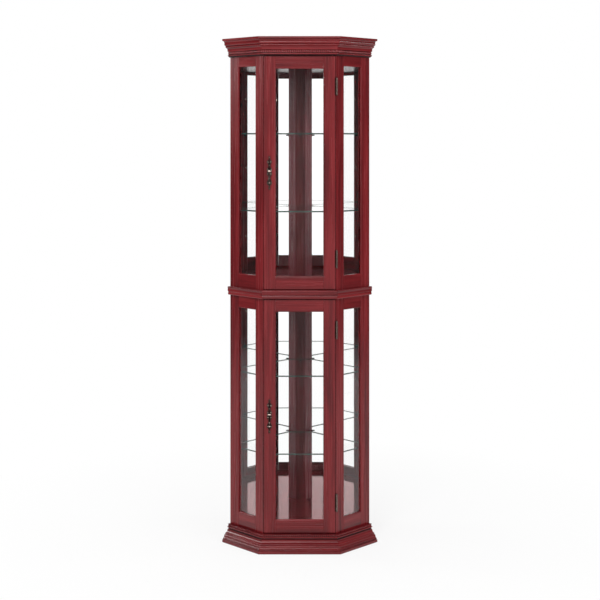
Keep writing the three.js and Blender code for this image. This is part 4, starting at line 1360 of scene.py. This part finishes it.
# %% Shelf pins
PIN_REACH, PIN_RADIUS, PIN_COLLAR, PIN_EASED = 9, 2.5, 4, 0.3
FRONT_PIN_S, OUTER_PIN_INSET = 21, 17
SHELF_BOTTOMS = {"lower_bottom": 337.8, "lower_top": 616.2, "upper_bottom": 1203.8, "upper_top": 1482.2}
model_pin = turned(domed([
    (0, -1), (PIN_COLLAR - PIN_EASED, -1), (PIN_COLLAR, PIN_EASED), (PIN_COLLAR - PIN_EASED, 1.0),
    (PIN_RADIUS, 1.2), (PIN_RADIUS, PIN_REACH + 0.2)], PIN_REACH + 1.2, 0.2), SMALL_SIDES)
pins_per_shelf = [((0, POST_FRONT), TO_FRONT)]
for s in (FRONT_PIN_S, FACET_LENGTH - OUTER_STILE + OUTER_PIN_INSET):
    x, y = on_facet(s, FRAME_THICKNESS)
    pins_per_shelf += [((x, y), (-1, 1, 0)), ((-x, y), (1, 1, 0))]
for shelf, bottom in SHELF_BOTTOMS.items():
    pins = [aim(copy_of(model_pin), spot(x, y, bottom - JOINT_GAP - PIN_RADIUS), direction)
            for (x, y), direction in pins_per_shelf]
    dress(joined(pins), f"{shelf}_shelf_pins", "cabinet", "antique_brass", brass)
print("pins:", len(pins_per_shelf) * len(SHELF_BOTTOMS))

# %% [markdown]
# **Clips.** The mirrors are held at their outer edges by small cast clips with a screw. The panes of the
# doors and the facets lie in their rebates from behind, each under six bent clips of sheet brass.

# %% Mirror clips
CLIP_HEIGHT, CLIP_THICKNESS, CLIP_EASED, CLIP_SCREW_S = 12, 2.6, 0.4, 186.2
CLIP_LEVELS = (577, 817, 1358, 1602)
clip_plan = [(182.6, 0), (MIRROR_FACE - 0.4, 0), (MIRROR_FACE - 0.4, 8.6), (MIRROR_FACE - 1.6, 9.4),
             (MIRROR_FACE - 2.6, 8.4), (MIRROR_FACE - 3.2, CLIP_THICKNESS), (183.2, CLIP_THICKNESS),
             (182.6, 2.0)]
for level in CLIP_LEVELS:
    clip = extruded(clip_plan, lambda s, n: spot(*on_facet(s, WALL_END_N + n), level - CLIP_HEIGHT / 2),
                    (0, 0, CLIP_HEIGHT * MM))
    ease(clip, CLIP_EASED)
    fixing = screw(spot(*on_facet(CLIP_SCREW_S, WALL_END_N + CLIP_THICKNESS), level), (-1, 1, 0))
    for side, piece in both_sides(joined([clip, fixing])):
        dress(piece, f"{side}_mirror_clip_at_{level}", "cabinet", "antique_brass", brass)
print("mirror clips:", 2 * len(CLIP_LEVELS))

# %% Glass clips
GLASS_CLIP_WIDTH, SHEET_BRASS, DOOR_BACK, CLIP_CLEARANCE = 9, 1, 15, 0.1
GLASS_SCREW_OUT, GLASS_SCREW_SIZE = 9.8, 0.8
GLASS_CLIP_LEVELS = {"lower": (200, 480, 760), "upper": (1066, 1347, 1628)}
clip_bend = [(12, 0), (12, SHEET_BRASS), (7.2, SHEET_BRASS), (6.4, 0.4), (5.6, -5.4), (1.5, -5.4),
             (1.5, -6.4), (6.4, -6.4), (7.4, 0)]


def glass_clips(placement, half_width, back, levels):
    """Small bent clips with a screw on the back of a frame, which hold the pane from behind."""
    parts = []
    for level in levels:
        for side in (1, -1):
            base = placement @ Matrix.Translation((side * half_width * MM, back * MM, level * MM))
            foot = -GLASS_CLIP_WIDTH / 2
            clip = extruded(clip_bend, lambda out, deep: Vector((side * out, deep, foot)) * MM,
                            (0, 0, GLASS_CLIP_WIDTH * MM))
            clip.data.transform(base)
            head = base @ Vector((side * GLASS_SCREW_OUT * MM, SHEET_BRASS * MM, 0))
            parts += [clip, screw(head, placement.to_3x3() @ Vector((0, 1, 0)), GLASS_SCREW_SIZE)]
    return joined(parts)


for level, levels in GLASS_CLIP_LEVELS.items():
    dress(glass_clips(ON_DOOR, DOOR_HALF - DOOR_STILE, DOOR_BACK + CLIP_CLEARANCE, levels),
          f"{level}_door_glass_clips", f"{level}_door", "antique_brass", clip_brass)
    right = glass_clips(ON_RIGHT_FACET, FACET_WINDOW_HALF, FRAME_THICKNESS + CLIP_CLEARANCE, levels)
    for side, piece in both_sides(right):
        dress(piece, f"{side}_{level}_glass_clips", "cabinet", "antique_brass", clip_brass)
print("glass clips:", sum(6 * len(levels) for levels in GLASS_CLIP_LEVELS.values()))

# %% [markdown]
# **Nails.** The back panels are nailed on with small round-headed pins, evenly spaced along both of
# their upright edges.

# %% Panel nails
NAIL_SPACING, END_SPACE, NAIL_FROM_CORNER, NAIL_SIDES = 145, 12, 14, 10
model_nail = turned([(0, -0.5), (2.0, -0.5), (2.0, 0.2), (1.4, 0.6), (0, 0.8)], NAIL_SIDES)
nail_gaps = round((FRAME_TOP - FRAME_BOTTOM) / NAIL_SPACING)
nails = []
for n in (WALL_END_N, POST_SIDE_N + NAIL_FROM_CORNER):
    for i in range(nail_gaps + 1):
        level = FRAME_BOTTOM + END_SPACE + (FRAME_TOP - FRAME_BOTTOM - 2 * END_SPACE) * i / nail_gaps
        nails.append(aim(copy_of(model_nail), spot(*on_facet(PANEL_OUTER, n), level), (1, 1, 0)))
for side, piece in both_sides(joined(nails)):
    dress(piece, f"{side}_panel_nails", "cabinet", "antique_brass", brass)
for model in (model_screw, model_pin, model_nail):
    bpy.data.objects.remove(model)
print("nails:", 4 * (nail_gaps + 1))
